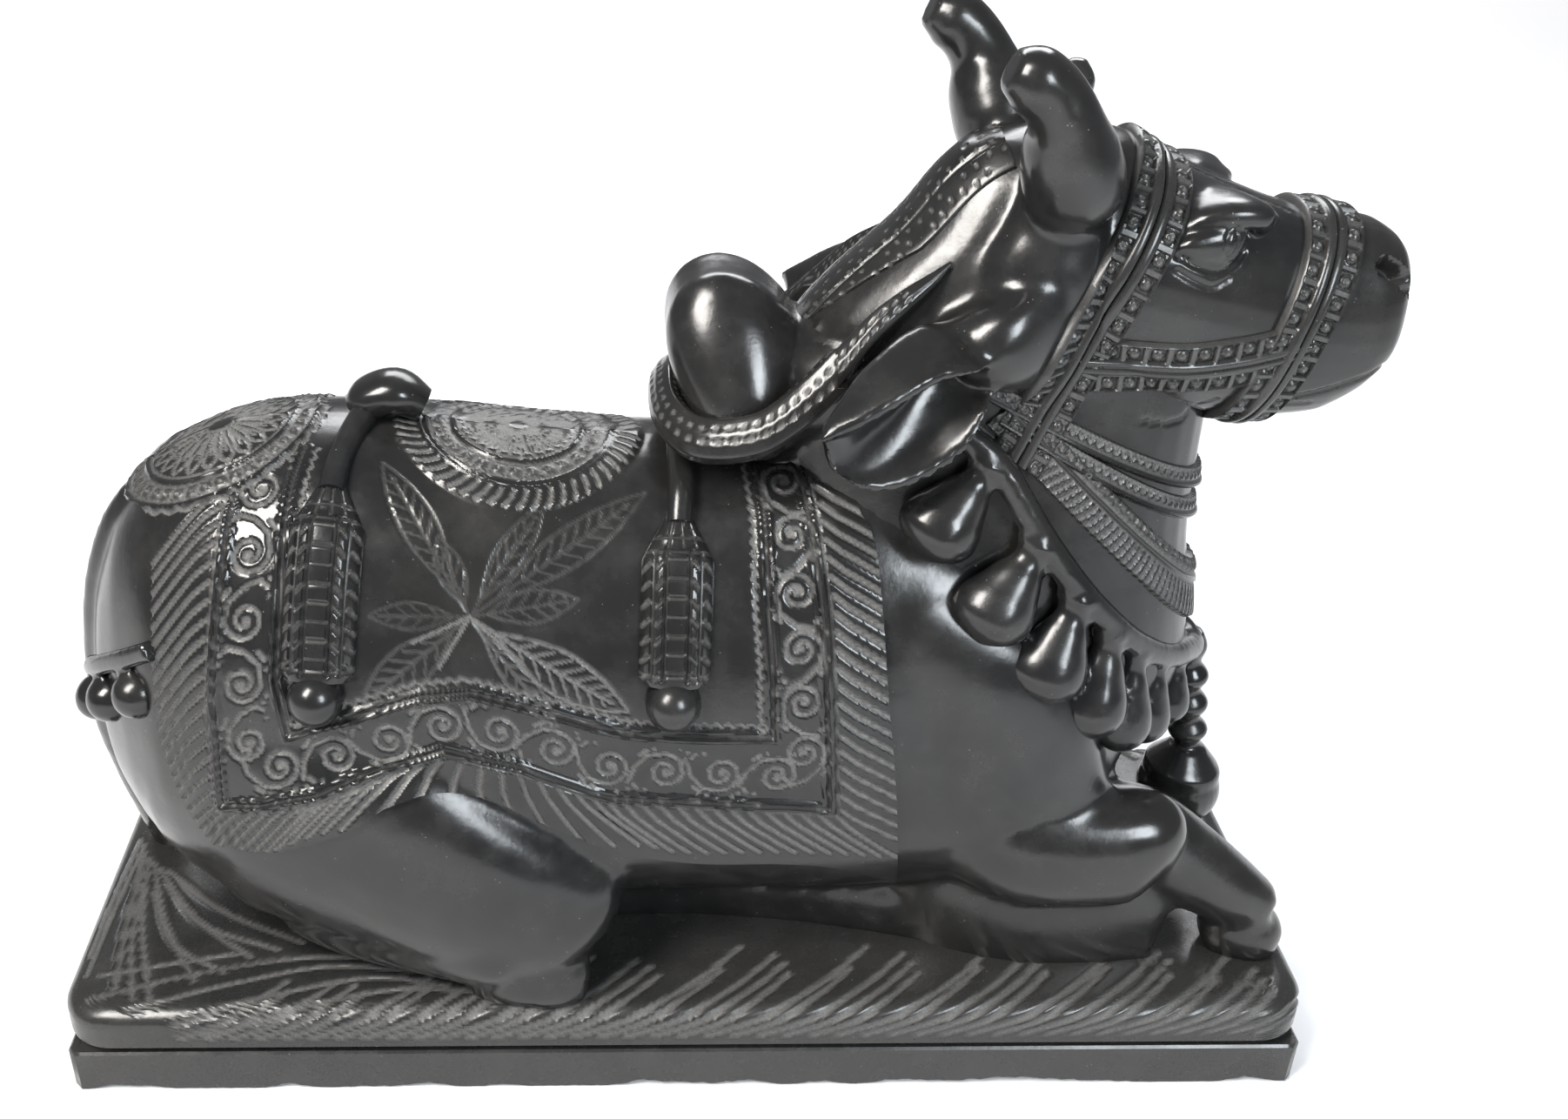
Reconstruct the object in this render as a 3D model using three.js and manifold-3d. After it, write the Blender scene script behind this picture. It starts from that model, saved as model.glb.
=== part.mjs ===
// A recumbent Nandi bull carved with its plinth from one block of black stone.
// Millimetres, +Z up, +X towards the muzzle, +Y the bull's left side.
// The origin is the centre of the plinth's underside.
import * as THREE from "three";
import { mergeVertices } from "three/addons/utils/BufferGeometryUtils.js";
import Module from "manifold-3d";

const wasm = await Module();
wasm.setup();

// Driving dimensions
const bullLength = 620; // tail bells to muzzle
const plinthLength = 620;
const plinthWidth = 220;
const plinthCorner = 14; // plan radius of the plinth's corners
const lowerSlabHeight = 25;
const grooveHeight = 6;
const upperSlabHeight = 21;
const grooveDepth = 9;
const lowerSlabInset = 2; // each side, from the upper slab
const upperSlabRound = 6; // rounded arris of the upper slab
const clothThickness = 3;
const borderRise = 2; // raised lines and medallions of the cloth, above the cloth
const strapThickness = 4; // halter, necklaces and crest band, above the hide
const leftHornSetBack = 12; // the left horn stands this much further back
const ropeRadius = 5; // tassel cords and the rope of the bells
const tasselWidth = 32;
const tailBallRadius = 12;
const pendantBallRadius = 21;

// The figure's tables are in millimetres on a bull of this length, measured from the plinth's top.
const drawnLength = 620;
const share = bullLength / drawnLength;
const plinthHeight = lowerSlabHeight + grooveHeight + upperSlabHeight;
const sunk = 8; // how far the figure runs into the plinth, so that the two are one
const drawn = (size) => size / share; // a real size, in the tables' millimetres

const X_AXIS = new THREE.Vector3(1, 0, 0);
const Y_AXIS = new THREE.Vector3(0, 1, 0);
const Z_AXIS = new THREE.Vector3(0, 0, 1);
const vec = (x, y, z) => new THREE.Vector3(x, y, z);
const RIGHT = -1; // the bull's right side, at -Y
const LEFT = 1;

// Solids

function solidOf(geometry) {
  const bare = geometry.clone();
  for (const name of Object.keys(bare.attributes))
    if (name !== "position") bare.deleteAttribute(name);
  const merged = mergeVertices(bare, 1e-4);
  const corners = [];
  for (let i = 0; i < merged.index.count; i += 3) {
    const [a, b, c] = [0, 1, 2].map((k) => merged.index.getX(i + k));
    if (a !== b && b !== c && c !== a) corners.push(a, b, c);
  }
  return new wasm.Manifold(
    new wasm.Mesh({
      numProp: 3,
      vertProperties: merged.attributes.position.array,
      triVerts: new Uint32Array(corners),
    }),
  );
}

const joined = (solids) => solids.reduce((whole, next) => whole.add(next));

// A closed skin over rings of equal count, with a fan at each end.
function skin(rings) {
  const count = rings[0].length;
  const positions = [];
  const index = [];
  rings.forEach((ring) => ring.forEach((p) => positions.push(p.x, p.y, p.z)));
  for (let r = 0; r + 1 < rings.length; r++)
    for (let i = 0; i < count; i++) {
      const a = r * count + i;
      const b = r * count + ((i + 1) % count);
      index.push(a, b, b + count, a, b + count, a + count);
    }
  for (const [ring, start, flip] of [
    [rings[0], 0, true],
    [rings[rings.length - 1], (rings.length - 1) * count, false],
  ]) {
    const centre = ring.reduce((sum, p) => sum.add(p), vec(0, 0, 0));
    centre.divideScalar(count);
    positions.push(centre.x, centre.y, centre.z);
    const hub = positions.length / 3 - 1;
    for (let i = 0; i < count; i++) {
      const a = start + i;
      const b = start + ((i + 1) % count);
      index.push(...(flip ? [hub, b, a] : [hub, a, b]));
    }
  }
  const geometry = new THREE.BufferGeometry();
  geometry.setAttribute(
    "position",
    new THREE.Float32BufferAttribute(positions, 3),
  );
  geometry.setIndex(index);
  return geometry;
}

// A form carved along a line of stations [x, y, z, half width, up, down]: the width is
// sideways, and up and down are the heights on either side of the widest level.
// Its rings stand square to the line, or all face one way where a facing is given.
// The last argument is how far the form is swollen, for what lies on it.
function form(stations, make, swell = 0) {
  const { sides, steps, upHint = Z_AXIS, full = 2.2, facing = null } = make;
  const path = new THREE.CatmullRomCurve3(
    stations.map(([x, y, z]) => vec(x, y, z)),
    false,
    "centripetal",
  );
  const girth = new THREE.CatmullRomCurve3(
    stations.map(([, , , wide, up, down]) => vec(wide, up, down)),
    false,
    "centripetal",
  );
  const rings = [];
  for (let s = 0; s <= steps; s++) {
    const t = s / steps;
    const at = path.getPoint(t);
    const size = girth.getPoint(t);
    const ahead = facing ? facing.clone() : path.getTangent(t);
    const across = new THREE.Vector3().crossVectors(upHint, ahead).normalize();
    const above = new THREE.Vector3().crossVectors(ahead, across);
    const ends = s === 0 ? -swell : s === steps ? swell : 0;
    at.addScaledVector(ahead, ends);
    const ring = [];
    for (let i = 0; i < sides; i++) {
      const turn = (2 * Math.PI * i) / sides;
      const c = Math.cos(turn);
      const d = Math.sin(turn);
      const wide = (size.x + swell) * Math.sign(c) * Math.abs(c) ** (2 / full);
      const tall =
        ((d > 0 ? size.y : size.z) + swell) *
        Math.sign(d) *
        Math.abs(d) ** (2 / full);
      ring.push(
        at.clone().addScaledVector(across, wide).addScaledVector(above, tall),
      );
    }
    rings.push(ring);
  }
  return solidOf(skin(rings));
}

const mirrored = (stations, side) =>
  stations.map(([x, y, z, ...girth]) => [x, side * y, z, ...girth]);

// Flesh forms of the bull, in the order a carver would block them out

const barrel = (swell) =>
  form(
    [
      [-293, 0, 122, 6, 12, 8],
      [-290, 0, 121, 20, 36, 24],
      [-282, 0, 118, 38, 76, 46],
      [-268, 0, 114, 56, 112, 64],
      [-248, 0, 110, 75, 138, 80],
      [-212, 0, 106, 90, 159, 97],
      [-165, 0, 105, 97, 165, 100],
      [-110, 0, 106, 95, 159, 95],
      [-50, 0, 108, 91, 151, 91],
      [10, 0, 110, 90, 148, 92],
      [70, 0, 112, 90, 150, 94],
      [120, 0, 114, 87, 144, 95],
      [160, 0, 114, 80, 130, 92],
      [188, 0, 116, 69, 114, 78],
      [210, 0, 124, 52, 90, 52],
      [226, 0, 134, 34, 64, 30],
      [236, 0, 140, 12, 26, 12],
    ],
    { sides: 14, steps: 12, full: 2.25, facing: X_AXIS },
    swell,
  );

const haunch = (side, swell) =>
  form(
    mirrored(
      [
        [-264, -24, 112, 12, 26, 26],
        [-240, -38, 108, 36, 58, 60],
        [-200, -48, 106, 48, 80, 82],
        [-155, -60, 90, 48, 72, 78],
        [-112, -74, 68, 40, 58, 65],
        [-76, -81, 50, 31, 46, 55],
        [-51, -82, 37, 22, 34, 41],
        [-42, -81, 30, 8, 13, 18],
      ],
      side === RIGHT ? 1 : -1,
    ),
    { sides: 10, steps: 6 },
    swell,
  );

const shoulder = (side, swell) =>
  form(
    mirrored(
      [
        [58, -42, 190, 14, 28, 30],
        [88, -51, 176, 27, 50, 52],
        [120, -57, 146, 30, 62, 62],
        [152, -62, 110, 28, 54, 56],
        [182, -65, 82, 20, 32, 34],
      ],
      side === RIGHT ? 1 : -1,
    ),
    { sides: 8, steps: 4 },
    swell,
  );

const neck = (swell) =>
  form(
    [
      [150, 0, 110, 54, 66, 70],
      [148, 0, 138, 70, 88, 100],
      [144, 0, 178, 70, 100, 102],
      [140, 0, 218, 64, 104, 99],
      [144, 0, 258, 56, 110, 94],
      [150, 0, 292, 50, 114, 88],
      [156, 0, 320, 48, 108, 76],
      [160, 0, 338, 46, 97, 64],
      [164, 0, 364, 42, 74, 48],
      [164, 0, 386, 34, 58, 38],
      [163, 0, 400, 22, 42, 28],
      [162, 0, 405, 8, 18, 14],
    ],
    { sides: 14, steps: 9, upHint: vec(-1, 0, 0), full: 2.1, facing: Z_AXIS },
    swell,
  );

const hump = (swell) =>
  form(
    [
      [24, -46, 286, 9, 10, 12],
      [24, -40, 290, 18, 21, 24],
      [24, -30, 296, 24, 33, 36],
      [24, -19, 301, 28, 42, 43],
      [24, -8, 302, 29, 44, 44],
      [24, 8, 302, 29, 44, 44],
      [24, 19, 301, 28, 42, 43],
      [24, 30, 296, 24, 33, 36],
      [24, 40, 290, 18, 21, 24],
      [24, 46, 286, 9, 10, 12],
    ],
    { sides: 12, steps: 7, full: 2.1, facing: Y_AXIS, upHint: vec(-0.5, 0, 0.87) },
    swell,
  );

// The saddle of flesh between hump and neck
const withers = (swell) =>
  form(
    [
      [20, 0, 286, 36, 28, 24],
      [58, 0, 292, 40, 29, 26],
      [84, 0, 302, 40, 31, 30],
      [112, 0, 316, 38, 36, 34],
    ],
    { sides: 10, steps: 3, facing: X_AXIS },
    swell,
  );

const head = (swell) =>
  form(
    [
      [136, 0, 346, 22, 34, 34],
      [150, 0, 346, 38, 46, 48],
      [176, 0, 344, 47, 53, 58],
      [206, 0, 337, 48, 53, 56],
      [234, 0, 329, 43, 49, 51],
      [260, 0, 321, 36, 45, 47],
      [284, 0, 316, 33, 43, 41],
      [300, 0, 316, 30, 41, 33],
      [311, 0, 320, 23, 30, 24],
      [315, 0, 323, 9, 14, 10],
    ],
    { sides: 14, steps: 8, full: 2.4, facing: X_AXIS },
    swell,
  );

const flesh = (swell) => {
  const forms = [barrel(swell), neck(swell), hump(swell), withers(swell), head(swell)];
  for (const side of [RIGHT, LEFT])
    forms.push(haunch(side, swell), shoulder(side, swell));
  return joined(forms);
};

// What the dress is cut from: the hide of the trunk alone, without neck and hump
const hide = (swell) => {
  const forms = [barrel(swell)];
  for (const side of [RIGHT, LEFT])
    forms.push(haunch(side, swell), shoulder(side, swell));
  return joined(forms);
};

// A block through the bull from side to side, drawn as it is seen from the side: points [x, z].
function sidePrism(points) {
  const outline = new THREE.Shape(points.map(([x, z]) => new THREE.Vector2(x, z)));
  const depth = plinthWidth;
  const block = new THREE.ExtrudeGeometry(outline, { depth, bevelEnabled: false });
  block.rotateX(Math.PI / 2);
  block.translate(0, depth / 2, 0);
  return solidOf(block);
}

// An upright elliptical pillar on the mid-line.
function pillar(x, alongX, alongY) {
  const outline = new THREE.Shape();
  outline.absellipse(x, 0, alongX, alongY, 0, 2 * Math.PI);
  const depth = 2 * plinthWidth;
  return solidOf(
    new THREE.ExtrudeGeometry(outline, { depth, bevelEnabled: false, curveSegments: 4 }),
  );
}

// The slice between two parallel planes across the bull: its centre line runs from one
// [x, z] to another as it is seen from the side.
function slice([x0, z0], [x1, z1], width) {
  const span = Math.hypot(x1 - x0, z1 - z0);
  const nx = ((z1 - z0) / span) * (width / 2);
  const nz = ((x0 - x1) / span) * (width / 2);
  return sidePrism([
    [x0 - nx, z0 - nz],
    [x0 + nx, z0 + nz],
    [x1 + nx, z1 + nz],
    [x1 - nx, z1 - nz],
  ]);
}

// Everything to one side of the mid-line.
function halfSpace(side) {
  const block = new THREE.BoxGeometry(3 * plinthLength, plinthWidth, 3 * plinthLength);
  block.translate(0, (side * plinthWidth) / 2, 0);
  return solidOf(block);
}

// A closed side-view outline drawn inwards by a distance.
function inset(points, by) {
  const area = points.reduce((sum, [x, z], i) => {
    const [u, w] = points[(i + 1) % points.length];
    return sum + x * w - u * z;
  }, 0);
  return points.map(([x, z], i) => {
    const [px, pz] = points[(i + points.length - 1) % points.length];
    const [qx, qz] = points[(i + 1) % points.length];
    const before = new THREE.Vector2(x - px, z - pz).normalize();
    const after = new THREE.Vector2(qx - x, qz - z).normalize();
    const normal = new THREE.Vector2(-before.y - after.y, before.x + after.x);
    const reach = (by * Math.sign(area) * 2) / normal.lengthSq();
    return [x + normal.x * reach, z + normal.y * reach];
  });
}

// A round piece turned on the line between two points: profile [radius, share of the way].
function turned(profile, from, to, segments) {
  const span = to.clone().sub(from);
  const round = new THREE.LatheGeometry(
    profile.map(([radius, along]) => new THREE.Vector2(radius, along * span.length())),
    segments,
  );
  round.applyQuaternion(
    new THREE.Quaternion().setFromUnitVectors(Y_AXIS, span.clone().normalize()),
  );
  round.translate(from.x, from.y, from.z);
  return solidOf(round);
}

function ball(centre, radius, segments = 10) {
  const half = segments / 2;
  const profile = [];
  for (let i = 0; i <= half; i++) {
    const turn = (Math.PI * i) / half;
    profile.push([i % half ? radius * Math.sin(turn) : 0, (1 - Math.cos(turn)) / 2]);
  }
  const low = centre.clone().setZ(centre.z - radius);
  const high = centre.clone().setZ(centre.z + radius);
  return turned(profile, low, high, segments);
}

// Horns, ears, legs and tail

const horn = (side) =>
  form(
    mirrored(
      [
        [156, -34, 386, 18, 18, 18],
        [153, -43, 396, 22, 20, 21],
        [149, -49, 408, 21, 19, 20],
        [143, -54, 421, 16, 14, 15],
        [136, -56, 430, 14, 12, 13],
        [128, -57, 436, 13, 12, 13],
        [119, -57, 440, 6, 6, 6],
      ].map(([x, ...rest]) => [side === LEFT ? x - leftHornSetBack : x, ...rest]),
      side === RIGHT ? 1 : -1,
    ),
    { sides: 8, steps: 5, upHint: X_AXIS },
  );

function ear(side) {
  const leaning = vec(0, -side * 0.6, 0.8);
  const shell = form(
    mirrored(
      [
        [140, -46, 330, 9, 8, 10],
        [122, -58, 326, 13, 14, 20],
        [98, -73, 318, 15, 25, 33],
        [74, -88, 308, 13, 25, 34],
        [54, -100, 299, 8, 13, 22],
      ],
      side === RIGHT ? 1 : -1,
    ),
    { sides: 8, steps: 4, upHint: leaning },
  );
  const hollow = form(
    mirrored(
      [
        [120, -76, 312, 7, 8, 8],
        [102, -92, 304, 14, 18, 20],
        [76, -107, 294, 13, 18, 20],
        [46, -120, 285, 9, 10, 14],
      ],
      side === RIGHT ? 1 : -1,
    ),
    { sides: 7, steps: 3, upHint: leaning },
  );
  return shell.subtract(hollow);
}

const foreLeg = () => [
  form(
    [
      [124, -52, 78, 18, 26, 26],
      [164, -71, 75, 25, 30, 32],
      [200, -76, 77, 24, 28, 33],
      [221, -76, 78, 22, 28, 32],
      [235, -75, 72, 11, 14, 16],
    ],
    { sides: 8, steps: 4 },
  ),
  form(
    [
      [200, -54, 70, 18, 26, 30],
      [224, -56, 68, 20, 25, 29],
      [250, -59, 53, 19, 21, 25],
      [275, -62, 36, 17, 17, 20],
      [292, -64, 24, 13, 14, 18],
    ],
    { sides: 8, steps: 4 },
  ),
  form(
    [
      [266, -60, 4, 8, 10, 12],
      [277, -62, 9, 15, 16, 14],
      [291, -64, 9, 17, 17, 14],
      [303, -66, 7, 10, 10, 10],
    ],
    { sides: 7, steps: 3 },
  ),
];

const foldedForeLeg = () => [
  form(
    [
      [124, 52, 66, 18, 26, 26],
      [170, 72, 54, 24, 28, 28],
      [200, 76, 46, 23, 26, 28],
      [224, 76, 38, 22, 26, 28],
      [238, 75, 34, 11, 14, 16],
    ],
    { sides: 8, steps: 4 },
  ),
  form(
    [
      [220, 70, 10, 14, 14, 14],
      [186, 82, 12, 15, 13, 16],
      [158, 88, 10, 13, 12, 14],
      [144, 90, 8, 8, 8, 10],
    ],
    { sides: 7, steps: 3 },
  ),
];

// The stone left standing under the belly, and under the forearm of the right side
const bed = () => [
  form(
    [
      [-180, 0, 4, 30, 22, 14],
      [-150, 0, 4, 42, 28, 14],
      [0, 0, 4, 40, 30, 14],
      [60, 0, 4, 46, 34, 14],
      [150, 0, 4, 64, 44, 14],
      [205, 0, 4, 56, 52, 14],
      [220, 0, 4, 34, 30, 14],
    ],
    { sides: 8, steps: 6, full: 3 },
  ),
  form(
    [
      [104, -46, 8, 4, 16, 14],
      [134, -55, 14, 11, 40, 26],
      [170, -65, 16, 12, 44, 26],
      [206, -66, 16, 12, 44, 26],
      [240, -62, 12, 12, 30, 22],
    ],
    { sides: 7, steps: 4, full: 3 },
  ),
];

const hindShank = (side) =>
  form(
    mirrored(
      [
        [-196, -62, 38, 14, 16, 26],
        [-160, -74, 37, 18, 20, 30],
        [-120, -84, 34, 20, 20, 28],
        [-90, -90, 30, 21, 22, 26],
        [-76, -92, 26, 12, 14, 16],
      ],
      side === RIGHT ? 1 : -1,
    ),
    { sides: 8, steps: 4 },
  );

const hindHoof = (side) =>
  form(
    mirrored(
      [
        [-106, -86, 4, 10, 12, 12],
        [-90, -90, 8, 15, 18, 16],
        [-66, -92, 8, 16, 18, 16],
        [-48, -92, 6, 10, 12, 12],
      ],
      side === RIGHT ? 1 : -1,
    ),
    { sides: 8, steps: 4 },
  );

const tail = () =>
  form(
    [
      [-244, 0, 244, 8, 6, 8],
      [-266, 0, 222, 10, 8, 10],
      [-282, 0, 188, 11, 8, 10],
      [-290, 0, 148, 11, 8, 10],
      [-292, 4, 104, 11, 8, 12],
      [-288, 14, 62, 12, 10, 14],
      [-284, 26, 24, 14, 11, 14],
      [-280, 34, -6, 14, 11, 14],
    ],
    { sides: 7, steps: 7, upHint: X_AXIS },
  );

// The saddle cloth, seen from the side

const clothOutline = [
  [-262, 290],
  [-262, 234],
  [-243, 234],
  [-242, 142],
  [-222, 92],
  [-181, 100],
  [-134, 124],
  [-108, 126],
  [-62, 102],
  [-22, 84],
  [60, 76],
  [103, 56],
  [86, 200],
  [66, 290],
];
const fieldLine = [
  [-176, 290],
  [-183, 182],
  [-180, 159],
  [-122, 176],
  [-99, 177],
  [-45, 158],
  [37, 152],
  [32, 290],
];

const frame = (outline, width) =>
  sidePrism(outline).subtract(sidePrism(inset(outline, width)));

const fieldLineWidth = 6;

// Medallions on the spine: [x, half length, half width]
const medallions = [
  [-215, 46, 49],
  [-79, 57, 52],
];
const medallionInside = 0.8; // where a medallion's raised ring ends, as a share of the oval
const medallionGap = 2; // between a medallion and the field line

function saddleCloth() {
  const cloth = hide(drawn(clothThickness)).intersect(sidePrism(clothOutline));
  const raised = barrel(drawn(clothThickness + borderRise));
  const clearing = medallions.map(([x, long, wide]) =>
    pillar(x, long + medallionGap, wide + medallionGap),
  );
  const rings = medallions.map(([x, long, wide]) =>
    pillar(x, long, wide).subtract(pillar(x, long * medallionInside, wide * medallionInside)),
  );
  const line = frame(fieldLine, fieldLineWidth)
    .intersect(halfSpace(RIGHT))
    .subtract(joined(clearing));
  return joined([
    cloth,
    raised.intersect(line),
    raised.intersect(joined(rings)),
  ]);
}

// The leaf spray on the field: blades from the stalk's foot, [tip x, tip z, half width]
const leafFoot = [-99, 206];
const leafKnotRadius = 5;
const leaves = [
  [-26, 164, 9],
  [-22, 247, 7],
  [-138, 256, 7],
  [-148, 172, 8],
  [-56, 216, 5],
];

function leafSpray() {
  const [x0, z0] = leafFoot;
  const blades = leaves.map(([x1, z1, half]) => {
    const span = Math.hypot(x1 - x0, z1 - z0);
    const nx = (z1 - z0) / span;
    const nz = (x0 - x1) / span;
    const at = (t, w) => [
      x0 + (x1 - x0) * t + nx * half * w,
      z0 + (z1 - z0) * t + nz * half * w,
    ];
    return sidePrism([at(0, 0), at(0.35, 0.6), at(0.7, 1), at(1, 0), at(0.7, -1), at(0.35, -0.6)]);
  });
  const knot = new THREE.Path().absarc(x0, z0, leafKnotRadius, 0, 2 * Math.PI).getPoints(3);
  blades.push(sidePrism(knot.slice(1).map(({ x, y }) => [x, y])));
  return barrel(drawn(clothThickness + borderRise))
    .intersect(joined(blades))
    .intersect(halfSpace(RIGHT));
}

// A tassel over one flank: its cord from the spine, the body and the ball at its foot,
// along points [x, y, z] that lie on the cloth of the bull's right side.
function tassel(side, cord, body) {
  const out = vec(0, -1, 0.35);
  const r = drawn(ropeRadius);
  const w = drawn(tasselWidth) / 2;
  const [top, bottom] = body;
  const turnedOut = side === RIGHT ? out : out.clone().setY(-out.y);
  const place = (stations) => mirrored(stations, side === RIGHT ? 1 : -1);
  const foot = vec(bottom[0], -side * bottom[1], bottom[2]);
  return joined([
    form(
      place([...cord.map((p) => [...p, r, r, r]), [...top, r, r, r]]),
      { sides: 4, steps: 2, upHint: turnedOut },
    ),
    form(
      place([
        [...top, r, r, r],
        [...blend(top, bottom, 0.16), w * 0.95, 9, 9],
        [...blend(top, bottom, 0.5), w, 9, 9],
        [...blend(top, bottom, 0.94), w * 0.85, 8, 8],
      ]),
      { sides: 6, steps: 3, upHint: turnedOut },
    ),
    ball(foot, w * 0.8, 6),
  ]);
}

const blend = (a, b, t) => a.map((value, i) => value + (b[i] - value) * t);

function tassels() {
  const solids = [];
  for (const side of [RIGHT, LEFT]) {
    solids.push(
      tassel(side, [[-147, 0, 276], [-155, -26, 272]], [[-158, -48, 262], [-166, -98, 180]]),
      tassel(side, [[-6, -10, 262], [-5, -30, 260]], [[-5, -52, 248], [-8, -93, 172]]),
    );
  }
  solids.push(
    form(
      [
        [-152, 0, 274, 9, 8, 8],
        [-146, 0, 280, 13, 10, 10],
        [-134, 0, 283, 14, 10, 10],
        [-122, 0, 276, 9, 8, 8],
      ],
      { sides: 6, steps: 3 },
    ),
  );
  return joined(solids);
}

// The collar about the foot of the hump, and the band down the crest of the neck

function collar() {
  const right = [
    [108, -35, 358, 3, 3, 3],
    [90, -38, 342, 6, 7, 7],
    [70, -42, 318, 8, 9, 9],
    [50, -48, 291, 9, 10, 10],
    [28, -50, 278, 9, 10, 10],
    [6, -40, 275, 9, 10, 10],
    [-5, -22, 279, 9, 10, 10],
  ];
  const back = [-9, 0, 283, 9, 10, 10];
  const left = mirrored(right, -1).reverse();
  return form([...right, back, ...left], { sides: 6, steps: 13, full: 2.6 });
}

const crestBandWidth = 36;
const crestBandEnds = { x: [40, 150], z: [320, 440] };

function crestBand() {
  const { x, z } = crestBandEnds;
  const reach = new THREE.BoxGeometry(x[1] - x[0], crestBandWidth, z[1] - z[0]);
  reach.translate((x[0] + x[1]) / 2, 0, (z[0] + z[1]) / 2);
  return neck(drawn(strapThickness)).intersect(solidOf(reach));
}

// Halter and necklaces, cut from the swollen head and neck: [from, to, width] of each band,
// with its ends as [x, z] seen from the side
const halterBands = {
  brow: [[163, 292], [204, 404], 18],
  nose: [[254, 286], [284, 376], 16],
  cheek: [[168, 311], [262, 310], 24],
};
const necklaceBands = {
  upper: [[128, 297], [262, 220], 9],
  middle: [[146, 273], [266, 200], 9],
  lower: [[128, 292], [270, 143], 20],
};
const slices = (bands) => joined(Object.values(bands).map((band) => slice(...band)));

const halter = () => head(drawn(strapThickness)).intersect(slices(halterBands));

function necklaces() {
  const swollen = joined([
    neck(drawn(strapThickness)),
    barrel(drawn(strapThickness)),
  ]);
  return swollen.intersect(slices(necklaceBands));
}

// The rope of bells: neck and foot of each bell of the right side, and its girth
const bells = [
  [[134, -56, 270], [110, -66, 226], 15],
  [[157, -62, 234], [136, -77, 190], 15.5],
  [[178, -64, 208], [168, -78, 161], 15],
  [[196, -61, 188], [194, -71, 136], 13.5],
  [[212, -52, 172], [215, -58, 120], 12],
  [[228, -40, 160], [232, -42, 114], 10.5],
  [[243, -24, 151], [246, -26, 114], 9.5],
];
const bellProfile = [
  [0, 0],
  [1.05, 0.24],
  [0.4, 0.82],
  [0, 1],
];

function bellRope() {
  const r = drawn(ropeRadius);
  const line = [
    [116, -52, 286],
    ...bells.map(([top]) => top),
    [255, 0, 146],
  ];
  const other = mirrored(line.slice(0, -1), -1).reverse();
  const solids = [
    form(
      [...line, ...other].map((p) => [...p, r, r, r]),
      { sides: 3, steps: 15, upHint: Z_AXIS },
    ),
  ];
  for (const side of [RIGHT, LEFT])
    for (const [top, foot, girth] of bells) {
      const profile = bellProfile.map(([radius, along]) => [radius * girth, along]);
      const at = ([x, y, z]) => vec(x, -side * y, z);
      solids.push(turned(profile, at(foot), at(top), 5));
    }
  return joined(solids);
}

// The ribbed pendant in front of the chest and its ball
function pendant() {
  const r = drawn(pendantBallRadius);
  const centre = vec(264, 0, 54);
  const top = vec(254, 0, 150);
  const neckOfBall = vec(266, 0, centre.z + r - 3);
  const ribs = [[0, 0], [9, 0.02], [6.5, 0.14], [10, 0.24], [6.5, 0.36], [10, 0.48],
    [6.5, 0.6], [10, 0.72], [6.5, 0.84], [8, 0.96], [0, 1]];
  const cap = [[0, 0], [r * 0.86, 0.02], [r * 0.7, 0.4], [8, 1.0], [0, 1.02]];
  return joined([
    turned(ribs, neckOfBall, top, 5),
    turned(cap, vec(264, 0, centre.z + r * 0.5), vec(265, 0, centre.z + r + 6), 8),
    ball(centre, r, 8),
  ]);
}

// The strap across the rump and the balls beneath it
function tailStrap() {
  const right = [
    [-294, -9, 140],
    [-282, -38, 158],
    [-263, -58, 174],
    [-243, -72, 188],
  ];
  const left = mirrored(right, -1).reverse();
  const lip = form(
    [...right.reverse(), ...left].map((p) => [...p, 4, 5, 5]),
    { sides: 4, steps: 8 },
  );
  const balls = [];
  for (const side of [RIGHT, LEFT])
    for (const [x, y, z] of [[-293, 12, 122], [-276, 42, 142], [-256, 62, 158]])
      balls.push(ball(vec(x, side * y, z), drawn(tailBallRadius), 6));
  return joined([lip, ...balls]);
}

// Eyes, brows and the knob between the horns
function face() {
  const solids = [
    form(
      [
        [156, 0, 396, 8, 8, 8],
        [159, 0, 412, 6, 6, 6],
        [160, 0, 420, 8, 7, 7],
        [160, 0, 428, 3, 3, 3],
      ],
      { sides: 6, steps: 3, upHint: X_AXIS },
    ),
  ];
  for (const side of [RIGHT, LEFT]) {
    const place = (stations) => mirrored(stations, side === RIGHT ? 1 : -1);
    solids.push(
      form(
        place([
          [207, -41, 368, 2, 2, 2],
          [214, -41, 368, 5, 6, 6],
          [222, -39, 366, 6, 8, 8],
          [229, -36, 363, 4, 6, 6],
          [234, -34, 361, 2, 2, 2],
        ]),
        { sides: 6, steps: 4 },
      ),
      form(
        place([
          [198, -38, 370, 3, 4, 5],
          [212, -36, 375, 6, 5, 6],
          [228, -30, 377, 7, 5, 7],
          [239, -26, 372, 6, 5, 7],
          [241, -26, 362, 4, 4, 4],
        ]),
        { sides: 5, steps: 4 },
      ),
    );
  }
  return joined(solids);
}

const nostrils = () =>
  joined(
    [RIGHT, LEFT].map((side) =>
      turned(
        [[0, 0], [5, 0.2], [5, 0.7], [0, 1]],
        vec(294, side * 22, 350),
        vec(312, side * 15, 343),
        6,
      ),
    ),
  );

// The plinth: two slabs with a sunk groove between them

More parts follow.
